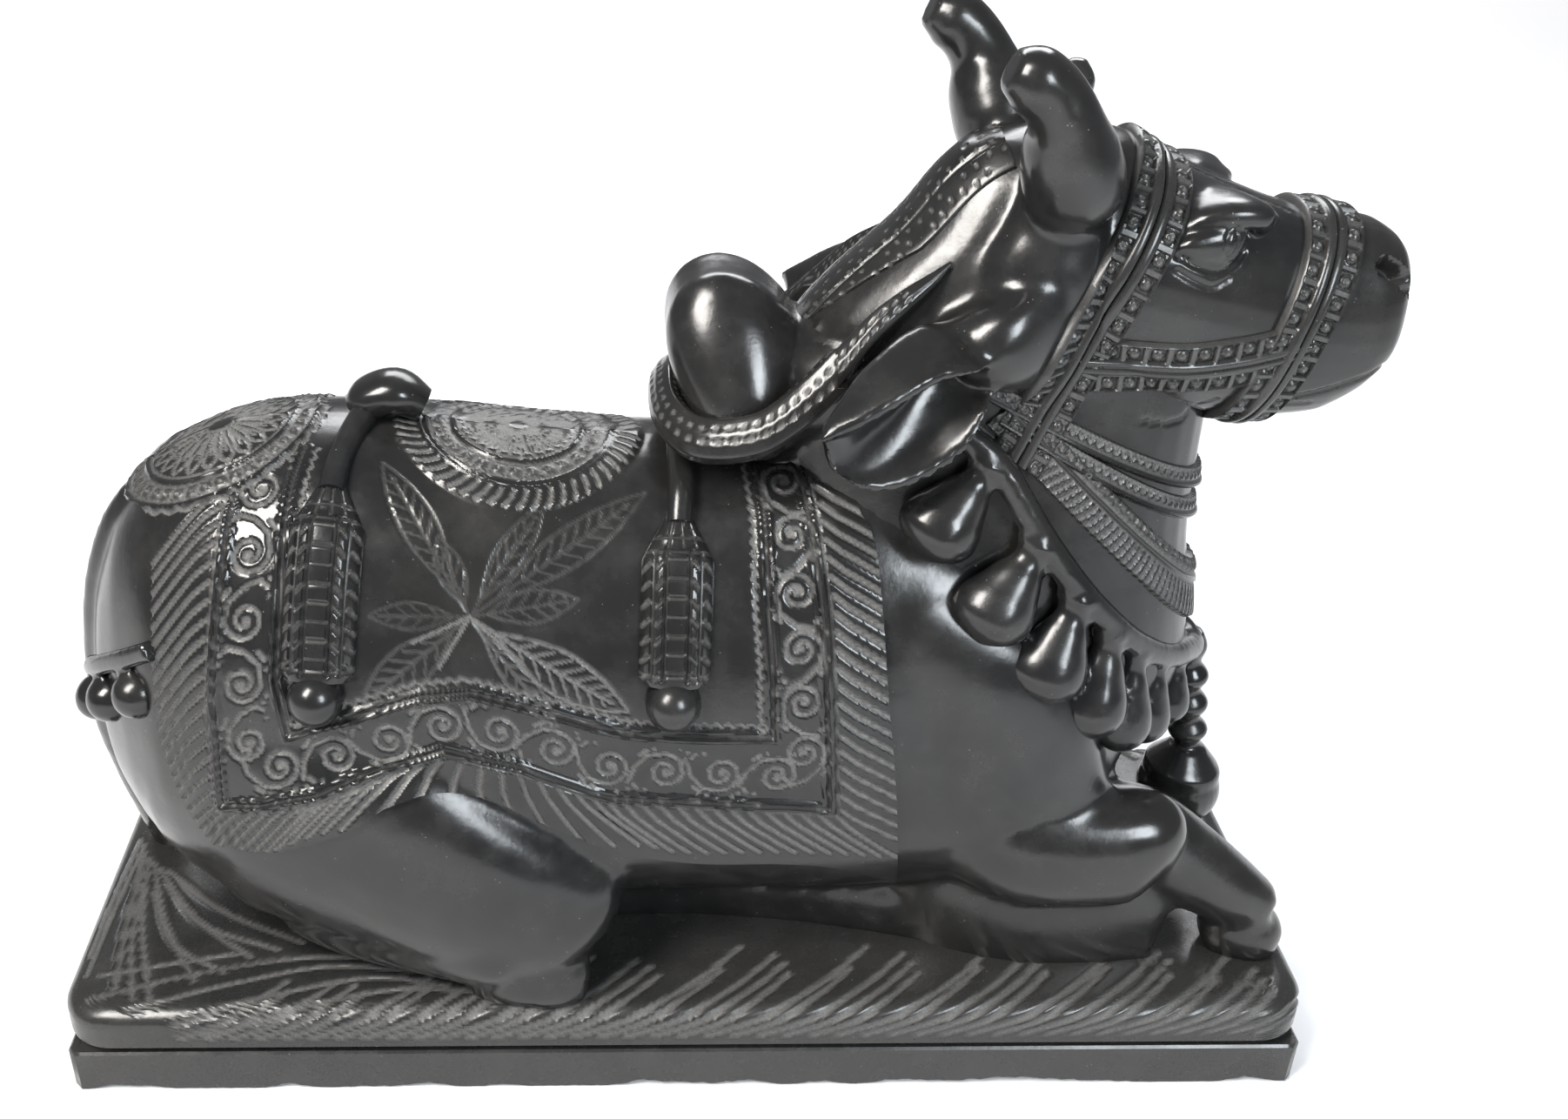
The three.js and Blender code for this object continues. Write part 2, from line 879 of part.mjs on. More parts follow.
function slab(length, width, corner, low, high, round) {
  const outline = new THREE.Shape();
  const x = length / 2 - round;
  const y = width / 2 - round;
  const r = corner - round;
  outline.moveTo(-x + r, -y);
  outline.lineTo(x - r, -y);
  outline.absarc(x - r, -y + r, r, -Math.PI / 2, 0);
  outline.absarc(x - r, y - r, r, 0, Math.PI / 2);
  outline.absarc(-x + r, y - r, r, Math.PI / 2, Math.PI);
  outline.absarc(-x + r, -y + r, r, Math.PI, 1.5 * Math.PI);
  const block = new THREE.ExtrudeGeometry(outline, {
    depth: high - low - 2 * round,
    bevelEnabled: round > 0,
    bevelThickness: round,
    bevelSize: round,
    bevelSegments: round > 1 ? 2 : 1,
    curveSegments: 3,
  });
  block.translate(0, 0, low + round);
  return solidOf(block);
}

function plinth() {
  const upperLow = lowerSlabHeight + grooveHeight;
  const lowerLength = plinthLength - 2 * lowerSlabInset;
  const lowerWidth = plinthWidth - 2 * lowerSlabInset;
  const inGroove = 2 * grooveDepth;
  return joined([
    slab(lowerLength, lowerWidth, plinthCorner, 0, lowerSlabHeight, 1),
    slab(
      lowerLength - inGroove,
      lowerWidth - inGroove,
      plinthCorner,
      lowerSlabHeight / 2,
      upperLow + upperSlabHeight / 2,
      0,
    ),
    slab(
      plinthLength,
      plinthWidth,
      plinthCorner,
      upperLow,
      plinthHeight,
      upperSlabRound,
    ),
  ]);
}

// The whole bull, standing on the plinth

function figure() {
  const forms = [flesh(0), tail(), ...bed(), ...foreLeg(), ...foldedForeLeg()];
  for (const side of [RIGHT, LEFT])
    forms.push(horn(side), ear(side), hindShank(side), hindHoof(side));
  forms.push(saddleCloth(), leafSpray(), tassels(), collar(), crestBand(), halter());
  forms.push(necklaces(), bellRope(), pendant(), tailStrap(), face());
  return joined(forms).subtract(nostrils());
}

function bull() {
  const placed = figure()
    .scale([share, share, share])
    .translate([0, 0, plinthHeight]);
  const below = new THREE.BoxGeometry(3 * plinthLength, 3 * plinthWidth, plinthHeight);
  below.translate(0, 0, plinthHeight / 2 - sunk);
  return placed.subtract(solidOf(below)).add(plinth());
}

function geometryOf(solid) {
  const mesh = solid.getMesh();
  const geometry = new THREE.BufferGeometry();
  geometry.setAttribute(
    "position",
    new THREE.BufferAttribute(mesh.vertProperties, 3),
  );
  geometry.setIndex(new THREE.BufferAttribute(mesh.triVerts, 1));
  geometry.computeVertexNormals();
  return geometry;
}

const blackStone = new THREE.MeshStandardMaterial({
  color: 0x2b2b2c,
  roughness: 0.35,
  metalness: 0,
});

const nandi = new THREE.Mesh(geometryOf(bull()), blackStone);
nandi.name = "nandi_bull";
const group = new THREE.Group();
group.add(nandi);
export default group;
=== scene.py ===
# %% [markdown]
# # A Nandi bull in black stone
#
# Nandi is the humped bull that lies facing the shrine in many Indian temples. This one is carved with its
# two-step plinth from one block. The hide is rubbed to a dark polish, and everything that the chisel cut
# afterwards, such as scrolls, fringes and beads, stays paler and rough.
#
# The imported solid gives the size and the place. It is faceted, so the stone is modelled again, finer.

import math

import bmesh
import bpy
import numpy as np
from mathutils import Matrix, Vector
from mathutils.bvhtree import BVHTree
from mathutils.kdtree import KDTree


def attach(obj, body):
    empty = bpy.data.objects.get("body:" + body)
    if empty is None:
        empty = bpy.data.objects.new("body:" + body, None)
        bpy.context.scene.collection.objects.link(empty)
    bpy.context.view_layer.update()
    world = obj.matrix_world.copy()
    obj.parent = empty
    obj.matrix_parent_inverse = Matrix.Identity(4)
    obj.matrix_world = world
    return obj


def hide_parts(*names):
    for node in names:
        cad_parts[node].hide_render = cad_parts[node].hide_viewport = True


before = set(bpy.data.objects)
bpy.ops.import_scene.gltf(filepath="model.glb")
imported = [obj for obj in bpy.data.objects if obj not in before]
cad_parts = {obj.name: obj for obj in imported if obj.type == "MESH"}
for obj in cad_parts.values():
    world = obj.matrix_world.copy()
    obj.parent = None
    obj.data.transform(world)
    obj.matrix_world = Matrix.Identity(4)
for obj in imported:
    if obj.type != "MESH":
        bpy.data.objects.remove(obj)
for name in ("Cube", "Light", "Camera"):  # what Blender puts in a new file
    if name in bpy.data.objects:
        bpy.data.objects.remove(bpy.data.objects[name])
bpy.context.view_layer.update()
MM = 0.001
STONE_NODE = "nandi_bull"
PLINTH_TOP = 52.0  # mm above the floor: every table below measures heights from here
RIGHT, LEFT = 1, -1  # the tables draw the right side, at -Y; LEFT turns them over

# %% [markdown]
# ## The camera
#
# The photograph looks down at the bull's right side from a little behind its middle. A lens is described
# by its focal length for a given sensor width. The picture's vanishing point lies left of its middle, and
# a camera shift gives that without turning the camera, so upright lines keep their lean.

# %% Camera at the photograph's place
PHOTO_WIDTH = 1802
VIEW_AXIS_PIXEL = 731  # where the lens looks straight ahead, in the photograph's pixels
eye = bpy.data.objects.new("eye", bpy.data.cameras.new("eye"))
bpy.context.collection.objects.link(eye)
eye.location = (-0.0298, -0.691, 0.644)
eye.rotation_euler = (math.radians(60), 0, math.radians(-0.5))
eye.data.sensor_width = 36
eye.data.lens = 37.54
eye.data.shift_x = (PHOTO_WIDTH / 2 - VIEW_AXIS_PIXEL) / PHOTO_WIDTH
bpy.context.scene.camera = eye
print("camera", [round(v, 3) for v in eye.location], "shift", round(eye.data.shift_x, 3))

# %% [markdown]
# ## Floor and light
#
# Polished stone is seen by what it reflects. Large soft lights give long calm highlights on the hump and
# the horns, and a pale floor and a pale sky fill the shadows. Small lamps would only make glints.

# %% Floor, sky and soft lights
def soft_light(name, place, aim, width, depth, watts, tint):
    lamp = bpy.data.objects.new(name, bpy.data.lights.new(name, "AREA"))
    bpy.context.collection.objects.link(lamp)
    lamp.location = place
    lamp.rotation_euler = (Vector(aim) - Vector(place)).to_track_quat("-Z", "Y").to_euler()
    lamp.data.shape, lamp.data.size, lamp.data.size_y = "RECTANGLE", width, depth
    lamp.data.energy, lamp.data.color = watts, tint


bpy.ops.object.select_all(action="DESELECT")
bpy.ops.mesh.primitive_plane_add(size=8)
floor = bpy.context.object
floor.name = "floor"
floor_paint = bpy.data.materials.new("floor_paint")
floor_paint.use_nodes = True
floor_paint.node_tree.nodes["Principled BSDF"].inputs["Base Color"].default_value = (0.86, 0.86, 0.87, 1)
floor_paint.node_tree.nodes["Principled BSDF"].inputs["Roughness"].default_value = 0.9
floor.data.materials.append(floor_paint)
soft_light("window", (-0.85, -0.8, 1.5), (-0.05, 0, 0.25), 0.5, 0.9, 40, (1, 0.965, 0.92))
soft_light("side_window", (0.75, -1.15, 0.95), (0.05, 0, 0.25), 0.4, 0.6, 15, (0.88, 0.95, 1))
soft_light("back", (0.2, 1.5, 1.5), (0, 0, 0.2), 1.6, 0.7, 30, (0.97, 0.985, 1))
soft_light("far_floor", (0, 3.6, 2.6), (0, 3.6, 0), 5, 2.4, 150, (1, 1, 1))
bpy.data.objects["far_floor"].visible_glossy = False  # the stone doesn't mirror it
sky = bpy.data.worlds.new("sky")
bpy.context.scene.world = sky
sky.use_nodes = True
sky.node_tree.nodes["Background"].inputs["Color"].default_value = (0.93, 0.95, 1, 1)
sky.node_tree.nodes["Background"].inputs["Strength"].default_value = 0.22
bpy.context.scene.view_settings.view_transform = "Standard"

# %% [markdown]
# ## The stone
#
# One material covers the whole carving, because it is one stone. Three things change over it. Slow noise
# varies the polish. Fine specks are the pale grains of the rock. An attribute named `cut`, which the
# chisel cells write, says where a tool has broken the polish: there the stone is paler and rough.

# %% Black stone
def stone_finish():
    paint = bpy.data.materials.new("black_stone")
    paint.use_nodes = True
    nodes, links = paint.node_tree.nodes, paint.node_tree.links
    shader = nodes["Principled BSDF"]

    def node(kind, **values):
        made = nodes.new(kind)
        for key, value in values.items():
            if key in made.inputs:
                made.inputs[key].default_value = value
            else:
                setattr(made, key, value)
        return made

    def noise(scale, detail, rough=0.55):
        made = node("ShaderNodeTexNoise", Scale=scale, Detail=detail, Roughness=rough)
        links.new(where.outputs["Object"], made.inputs["Vector"])
        return made.outputs["Fac"]

    def spread(source, low, high, to_low, to_high):
        made = node("ShaderNodeMapRange")
        for key, value in zip(("From Min", "From Max", "To Min", "To Max"), (low, high, to_low, to_high)):
            made.inputs[key].default_value = value
        links.new(source, made.inputs["Value"])
        return made.outputs["Result"]

    def mix(amount, under, over):
        made = node("ShaderNodeMix", data_type="RGBA")
        links.new(amount, made.inputs["Factor"])
        for socket, value in ((made.inputs[6], under), (made.inputs[7], over)):
            if isinstance(value, tuple):
                socket.default_value = value
            else:
                links.new(value, socket)
        return made.outputs[2]

    def sums(operation, a, b):
        made = node("ShaderNodeMath", operation=operation)
        for socket, value in zip(made.inputs, (a, b)):
            if isinstance(value, (int, float)):
                socket.default_value = value
            else:
                links.new(value, socket)
        return made.outputs[0]

    where = nodes.new("ShaderNodeTexCoord")
    cut = node("ShaderNodeAttribute", attribute_name="cut").outputs["Fac"]
    drift = noise(7, 4)
    mottle = noise(38, 6, 0.65)
    grain = noise(900, 3, 0.7)
    pits = noise(260, 4, 0.6)
    polished = mix(spread(drift, 0.35, 0.68, 0, 1), (0.0095, 0.0100, 0.0108, 1), (0.018, 0.0172, 0.0162, 1))
    polished = mix(spread(mottle, 0.45, 0.75, 0, 0.6), polished, (0.032, 0.0315, 0.0305, 1))
    chiselled = mix(spread(grain, 0.3, 0.75, 0, 1), (0.062, 0.061, 0.059, 1), (0.165, 0.162, 0.157, 1))
    body = mix(cut, polished, chiselled)
    specks = node("ShaderNodeTexVoronoi", Scale=420.0, Randomness=1.0)
    links.new(where.outputs["Object"], specks.inputs["Vector"])
    sparse = spread(noise(150, 2), 0.62, 0.66, 0, 1)
    dots = sums("MULTIPLY", spread(specks.outputs["Distance"], 0.16, 0.05, 0, 0.55), sparse)
    body = mix(dots, body, (0.34, 0.33, 0.32, 1))
    links.new(body, shader.inputs["Base Color"])
    rubbed = spread(mottle, 0.3, 0.8, 0.15, 0.32)
    rough = sums("ADD", rubbed, sums("MULTIPLY", cut, 0.36))
    links.new(sums("MINIMUM", rough, 0.82), shader.inputs["Roughness"])
    shader.inputs["IOR"].default_value = 1.55
    height = sums("ADD", sums("MULTIPLY", pits, 0.35), sums("MULTIPLY", sums("MULTIPLY", grain, cut), 0.8))
    bump = node("ShaderNodeBump", Strength=0.35, Distance=0.0006)
    links.new(height, bump.inputs["Height"])
    links.new(bump.outputs["Normal"], shader.inputs["Normal"])
    return paint


black_stone = stone_finish()
print("stone shader nodes", len(black_stone.node_tree.nodes))

# %% [markdown]
# ## Blocking out: a form along a line
#
# A carver first knocks the block into simple swelling forms. Each is drawn here as a row of stations:
# where the middle of the form is, how wide it is to each side, and how high above and below its widest
# level. A smooth line through the stations gives the rings between them. The imported
# solid was drawn from much the same stations, so the two agree.

# %% Smooth rings through stations
def flowing(points, share):
    """The point at a share from 0 to 1 of a smooth line through the points."""
    p = np.vstack([2 * points[0] - points[1], points, 2 * points[-1] - points[-2]])
    at = share * (len(points) - 1)
    i = min(int(at), len(points) - 2)
    t = at - i
    a, b, c, d = p[i : i + 4]
    gaps = [np.linalg.norm(v) ** 0.5 for v in (b - a, c - b, d - c)]
    middle = gaps[1] if gaps[1] > 1e-2 else 1.0
    before = gaps[0] if gaps[0] > 1e-2 else middle
    after = gaps[2] if gaps[2] > 1e-2 else middle
    leave = ((b - a) / before - (c - a) / (before + middle) + (c - b) / middle) * middle
    arrive = ((c - b) / middle - (d - b) / (middle + after) + (d - c) / after) * middle
    bend = -3 * b + 3 * c - 2 * leave - arrive
    return b + leave * t + bend * t**2 + (2 * b - 2 * c + leave + arrive) * t**3


def rings_of(stations, sides=24, steps=20, up=(0, 0, 1), full=2.2, facing=None, swell=0.0):
    """Rings of points, in mm above the plinth, of a form along its stations [x, y, z, wide, up, down]."""
    stations = np.array(stations, float)
    line, girth = stations[:, :3], stations[:, 3:]
    turn = np.linspace(0, 2 * math.pi, sides, endpoint=False)
    c, s = np.cos(turn), np.sin(turn)
    c = np.sign(c) * np.abs(c) ** (2 / full)
    s = np.sign(s) * np.abs(s) ** (2 / full)
    rings = []
    for step in range(steps + 1):
        share = step / steps
        at = flowing(line, share)
        wide, high, low = flowing(girth, share) + swell
        if facing is None:
            ahead = flowing(line, min(share + 1e-4, 1)) - flowing(line, max(share - 1e-4, 0))
            ahead /= np.linalg.norm(ahead)
        else:
            ahead = np.array(facing, float)
        across = np.cross(up, ahead)
        across /= np.linalg.norm(across)
        above = np.cross(ahead, across)
        tall = np.where(s > 0, high, low) * s
        rings.append(at + np.outer(wide * c, across) + np.outer(tall, above))
    return np.array(rings)


def turned_over(stations, side):
    """Stations drawn for the right side, at -Y, put on either side."""
    return [[x, -side * abs(y), z, *girth] for x, y, z, *girth in stations]


print("a test ring has", rings_of([[0, 0, 0, 5, 5, 5], [10, 0, 0, 5, 5, 5]]).shape)

# %% [markdown]
# ## From rings to clay
#
# A form starts as a flat circle face. The face is extruded once for each ring, and its corners are moved
# onto the ring, as one would pull a lump of clay out and squeeze it. The last face closes the end, so the
# form is a closed body from the start.

# %% Extrude a form from ring to ring
def on_plinth(points):
    """Drawn mm above the plinth to metres in the frame."""
    return (np.asarray(points, float) + (0, 0, PLINTH_TOP)) * MM


def lofted(name, rings):
    bpy.ops.object.select_all(action="DESELECT")
    bpy.ops.mesh.primitive_circle_add(vertices=len(rings[0]), radius=MM, fill_type="NGON")
    piece = bpy.context.object
    piece.name = name
    bpy.ops.object.mode_set(mode="EDIT")
    for count, ring in enumerate(rings):
        if count:
            bpy.ops.mesh.extrude_region_move()
        mesh = bmesh.from_edit_mesh(piece.data)
        face = next(f for f in mesh.faces if f.select)
        for corner, place in zip(face.verts, on_plinth(ring)):
            corner.co = place
        bmesh.update_edit_mesh(piece.data)
    bpy.ops.mesh.select_all(action="SELECT")
    bpy.ops.mesh.normals_make_consistent(inside=False)
    bpy.ops.object.mode_set(mode="OBJECT")
    return piece


def clay(name, stations, **make):
    return lofted(name, rings_of(stations, **make))


def merged(pieces, name):
    """One object out of several."""
    bpy.ops.object.select_all(action="DESELECT")
    for piece in pieces:
        piece.select_set(True)
    bpy.context.view_layer.objects.active = pieces[0]
    if len(pieces) > 1:
        bpy.ops.object.join()
    pieces[0].name = name
    return pieces[0]


def apply(piece, kind, **values):
    """Adds a modifier and applies it."""
    bpy.ops.object.select_all(action="DESELECT")
    piece.select_set(True)
    bpy.context.view_layer.objects.active = piece
    modifier = piece.modifiers.new(kind.lower(), kind)
    for key, value in values.items():
        setattr(modifier, key, value)
    bpy.ops.object.modifier_apply(modifier=modifier.name)


def fused(pieces, name, grain, soften):
    """Overlapping forms made one skin, with the creases between them softened."""
    piece = merged(pieces, name)
    apply(piece, "REMESH", mode="VOXEL", voxel_size=grain * MM)
    if soften:
        apply(piece, "SMOOTH", factor=0.5, iterations=soften)
    return piece


def keep_one_side(piece, place, toward):
    """Cuts a closed piece with a plane, drops what lies behind it, and closes the cut."""
    bpy.ops.object.select_all(action="DESELECT")
    piece.select_set(True)
    bpy.context.view_layer.objects.active = piece
    bpy.ops.object.mode_set(mode="EDIT")
    bpy.ops.mesh.select_all(action="SELECT")
    bpy.ops.mesh.bisect(plane_co=on_plinth(place), plane_no=toward, clear_inner=True, use_fill=True)
    bpy.ops.object.mode_set(mode="OBJECT")


def rub(piece, spots, rounds):
    """Rubs a skin smooth round each spot [x, y, z, radius], as with a stone and water."""
    group = piece.vertex_groups.new(name="rubbed")
    for corner in piece.data.vertices:
        place = np.array(corner.co) / MM - (0, 0, PLINTH_TOP)
        weight = max(1 - np.linalg.norm(place - spot[:3]) / spot[3] for spot in np.array(spots, float))
        if weight > 0:
            group.add([corner.index], min(1, 2 * weight), "REPLACE")
    apply(piece, "SMOOTH", factor=0.5, iterations=rounds, vertex_group="rubbed")
    piece.vertex_groups.clear()


print("clay helpers ready")

# %% [markdown]
# ## The masses of the bull
#
# The trunk is a long barrel with a haunch and a shoulder swelling out of each side. The neck is an
# upright column, the hump a rounded roll across the withers, and the head a wedge. Stations are [x, y, z,
# half width, up, down].

# %% Tables of the masses
BARREL = [
    [-293, 0, 122, 6, 12, 8], [-290, 0, 121, 20, 36, 24], [-282, 0, 118, 38, 76, 46],
    [-268, 0, 114, 56, 112, 64], [-248, 0, 110, 75, 138, 80], [-212, 0, 106, 90, 159, 97],
    [-165, 0, 105, 97, 165, 100], [-110, 0, 106, 95, 159, 95], [-50, 0, 108, 91, 151, 91],
    [10, 0, 110, 90, 148, 92], [70, 0, 112, 90, 150, 94], [120, 0, 114, 87, 144, 95],
    [160, 0, 114, 80, 130, 92], [188, 0, 116, 69, 114, 78], [210, 0, 124, 52, 90, 52],
    [226, 0, 134, 34, 64, 30], [236, 0, 140, 12, 26, 12],
]
HAUNCH = [
    [-264, -24, 112, 12, 26, 26], [-240, -38, 108, 36, 58, 60], [-200, -48, 106, 48, 80, 82],
    [-155, -60, 90, 48, 72, 78], [-112, -74, 68, 40, 58, 65], [-76, -81, 50, 31, 46, 55],
    [-51, -82, 37, 22, 34, 41], [-42, -81, 30, 8, 13, 18],
]
SHOULDER = [
    [58, -42, 190, 14, 28, 30], [88, -51, 176, 27, 50, 52], [120, -57, 146, 30, 62, 62],
    [152, -62, 110, 28, 54, 56], [182, -65, 82, 20, 32, 34],
]
NECK = [
    [150, 0, 110, 54, 66, 70], [148, 0, 138, 70, 88, 100], [144, 0, 178, 70, 100, 102],
    [140, 0, 218, 64, 104, 99], [144, 0, 258, 56, 110, 94], [150, 0, 292, 50, 114, 88],
    [156, 0, 320, 48, 108, 76], [160, 0, 338, 46, 97, 64], [164, 0, 364, 42, 74, 48],
    [164, 0, 386, 34, 58, 38], [163, 0, 400, 22, 42, 28], [162, 0, 405, 8, 18, 14],
]
HUMP_HALF = [
    [24, -47, 284, 5, 6, 6], [24, -45, 286, 12, 14, 15], [24, -39, 290, 19, 23, 25],
    [24, -30, 296, 25, 34, 36], [24, -21, 300, 28.5, 42, 43], [24, -15, 302, 29.5, 44.5, 44],
    [24, -6, 302, 29.5, 44.5, 44],
]
HUMP = HUMP_HALF + turned_over(HUMP_HALF, LEFT)[::-1]
WITHERS = [
    [20, 0, 286, 36, 28, 24], [58, 0, 292, 40, 29, 26], [84, 0, 302, 40, 31, 30], [112, 0, 316, 38, 36, 34],
]
HEAD = [
    [136, 0, 346, 22, 34, 34], [150, 0, 346, 38, 46, 48], [176, 0, 344, 47, 53, 58],
    [206, 0, 337, 48, 53, 56], [234, 0, 329, 43, 50, 51], [260, 0, 321, 36, 49, 46],
    [284, 0, 318, 33, 48, 41], [299, 0, 318, 31, 45, 31], [308, 0, 321, 27, 37, 24],
    [313, 0, 324, 20, 28, 20], [314.5, 0, 326, 9, 14, 11],
]
HORN = [
    [156, -34, 386, 18, 18, 18], [153, -43, 396, 22, 20, 21], [149, -49, 408, 21, 18, 20],
    [144, -54, 422, 16, 13, 15], [136, -56, 432, 14, 13, 13], [128, -57, 438, 14, 13, 13],
    [119, -57, 442, 9, 8, 8],
]
HALTER_FOOT, HALTER_TOP = np.array([152.0, 0, 296]), np.array([201.0, 0, 402])  # the forehead band
HALTER_AHEAD = np.cross((0, 1, 0), (HALTER_TOP - HALTER_FOOT) / np.linalg.norm(HALTER_TOP - HALTER_FOOT))
HALTER_OVERLAP = 4, 2  # how far the head and the face run past the middle of the band that hides their joint
TEMPLE = [
    [156, -27, 394, 12, 14, 16], [154, -30, 372, 19, 20, 24], [151, -32, 346, 21, 22, 34],
    [148, -31, 320, 18, 20, 30], [147, -28, 298, 10, 12, 12],
]
EAR_STEM = [
    [106, -48, 327, 7, 8, 12], [115, -52, 327, 13, 15, 17], [126, -52, 327, 17, 20, 20],
    [139, -48, 329, 17, 24, 25], [154, -40, 331, 14, 26, 26], [172, -32, 332, 8, 20, 20],
]
LEFT_HORN_SET_BACK = 12
TOP_KNOT = [[156, 0, 396, 8, 8, 8], [159, 0, 412, 7, 7, 7], [160, 0, 424, 9, 8, 8], [160, 0, 433, 3, 3, 3]]


def trunk_forms():
    forms = [clay("barrel", BARREL, sides=40, steps=48, full=2.25, facing=(1, 0, 0))]
    for side in (RIGHT, LEFT):
        forms.append(clay("haunch", turned_over(HAUNCH, side), sides=28, steps=24))
        forms.append(clay("shoulder", turned_over(SHOULDER, side), sides=24, steps=16))
    return forms


NECK_MAKE = {"sides": 36, "steps": 40, "up": (-1, 0, 0), "full": 2.1, "facing": (0, 0, 1)}


def neck_forms(fuller=0.0):
    return [
        clay("neck", NECK, **NECK_MAKE, swell=fuller),
        clay("hump", HUMP, sides=48, steps=64, up=(-0.5, 0, 0.87), full=2.1, facing=(0, 1, 0), swell=fuller),
        clay("withers", WITHERS, sides=32, steps=16, facing=(1, 0, 0), swell=fuller),
    ]


def head_forms(fuller=0.0):
    back_of_head = clay("head", HEAD, sides=36, steps=40, full=2.4, facing=(1, 0, 0), swell=fuller)
    keep_one_side(back_of_head, HALTER_FOOT + HALTER_AHEAD * HALTER_OVERLAP[0], -HALTER_AHEAD)
    forms = [back_of_head, clay("top_knot", TOP_KNOT, sides=12, steps=10, up=(1, 0, 0), swell=fuller)]
    for side, back in ((RIGHT, 0), (LEFT, LEFT_HORN_SET_BACK)):
        placed = [[x - back, *rest] for x, *rest in turned_over(HORN, side)]
        forms.append(clay("horn", placed, sides=28, steps=32, up=(1, 0, 0), swell=fuller))
        forms.append(clay("temple", turned_over(TEMPLE, side), sides=24, steps=20, up=(1, 0, 0)))
        forms.append(clay("ear_stem", turned_over(EAR_STEM, side), sides=24, steps=20, facing=(1, 0, 0)))
    return forms


print("tables hold", sum(map(len, (BARREL, HAUNCH, SHOULDER, NECK, HUMP, HEAD, HORN))), "stations")

# %% [markdown]
# ## Legs, tail and the stone left under the belly
#
# The right foreleg is drawn up, with its knee forward and the hoof on the plinth. The left one is folded
# under. The hind feet show beside the belly. A carver can't free a leg in this hard stone without risk,
# so a web of stone is left under the belly and the forearm, and it stays here too.

# %% Limbs and the bed of stone
FORELEG = [
    [[124, -52, 78, 18, 26, 26], [164, -71, 75, 25, 30, 32], [200, -76, 77, 24, 28, 33],
     [221, -76, 78, 22, 28, 32], [235, -75, 72, 11, 14, 16]],
    [[200, -54, 70, 18, 26, 30], [224, -56, 68, 20, 25, 29], [250, -59, 53, 19, 21, 25],
     [275, -62, 36, 17, 17, 20], [292, -64, 24, 13, 14, 18]],
    [[266, -60, 4, 8, 10, 12], [277, -62, 9, 15, 16, 14], [291, -64, 9, 17, 17, 14],
     [303, -66, 7, 10, 10, 10]],
]
FOLDED_FORELEG = [
    [[124, 52, 66, 18, 26, 26], [170, 72, 54, 24, 28, 28], [200, 76, 46, 23, 26, 28],
     [224, 76, 38, 22, 26, 28], [238, 75, 34, 11, 14, 16]],
    [[220, 70, 10, 14, 14, 14], [186, 82, 12, 15, 13, 16], [158, 88, 10, 13, 12, 14],
     [144, 90, 8, 8, 8, 10]],
]
HIND_FOOT = [
    [[-196, -62, 38, 14, 16, 26], [-160, -74, 37, 18, 20, 30], [-120, -84, 34, 20, 20, 28],
     [-90, -90, 30, 21, 22, 26], [-76, -92, 26, 12, 14, 16]],
    [[-106, -86, 4, 10, 12, 12], [-90, -90, 8, 15, 18, 16], [-66, -92, 8, 16, 18, 16],
     [-48, -92, 6, 10, 12, 12]],
]
BED = [
    [[-180, 0, 4, 30, 22, 14], [-150, 0, 4, 42, 28, 14], [0, 0, 4, 40, 30, 14], [60, 0, 4, 46, 34, 14],
     [150, 0, 4, 64, 44, 14], [205, 0, 4, 56, 52, 14], [220, 0, 4, 34, 30, 14]],
    [[104, -46, 8, 4, 16, 14], [134, -55, 14, 11, 40, 26], [170, -65, 16, 12, 44, 26],
     [206, -66, 16, 12, 44, 26], [240, -62, 12, 12, 30, 22]],
]
TAIL = [
    [-244, 0, 244, 8, 6, 8], [-266, 0, 222, 10, 8, 10], [-282, 0, 188, 11, 8, 10],
    [-290, 0, 148, 11, 8, 10], [-292, 4, 104, 11, 8, 12], [-288, 14, 62, 12, 10, 14],
    [-284, 26, 24, 14, 11, 14], [-280, 34, -6, 14, 11, 14],
]


def limb_forms():
    forms = [clay("limb", stations, sides=24, steps=20) for stations in FORELEG + FOLDED_FORELEG]
    forms += [clay("bed", stations, sides=24, steps=20, full=3) for stations in BED]
    for side in (RIGHT, LEFT):
        forms += [clay("hind_foot", turned_over(part, side), sides=24, steps=20) for part in HIND_FOOT]
    forms.append(clay("tail", TAIL, sides=18, steps=40, up=(1, 0, 0)))
    return forms


body = fused(trunk_forms() + neck_forms() + limb_forms(), "body", grain=3.4, soften=8)
print("body faces", len(body.data.polygons))

# %% [markdown]
# ## Ears
#
# The ears stand out and back, each a conch that opens outwards. Cutting a hollow out of a leaf leaves
# ragged lips, so the section is drawn instead: over the rolled rim, over the back, round the lower lip
# and through the hollow. Each row of the table is one such section, from the root to the blunt tip.

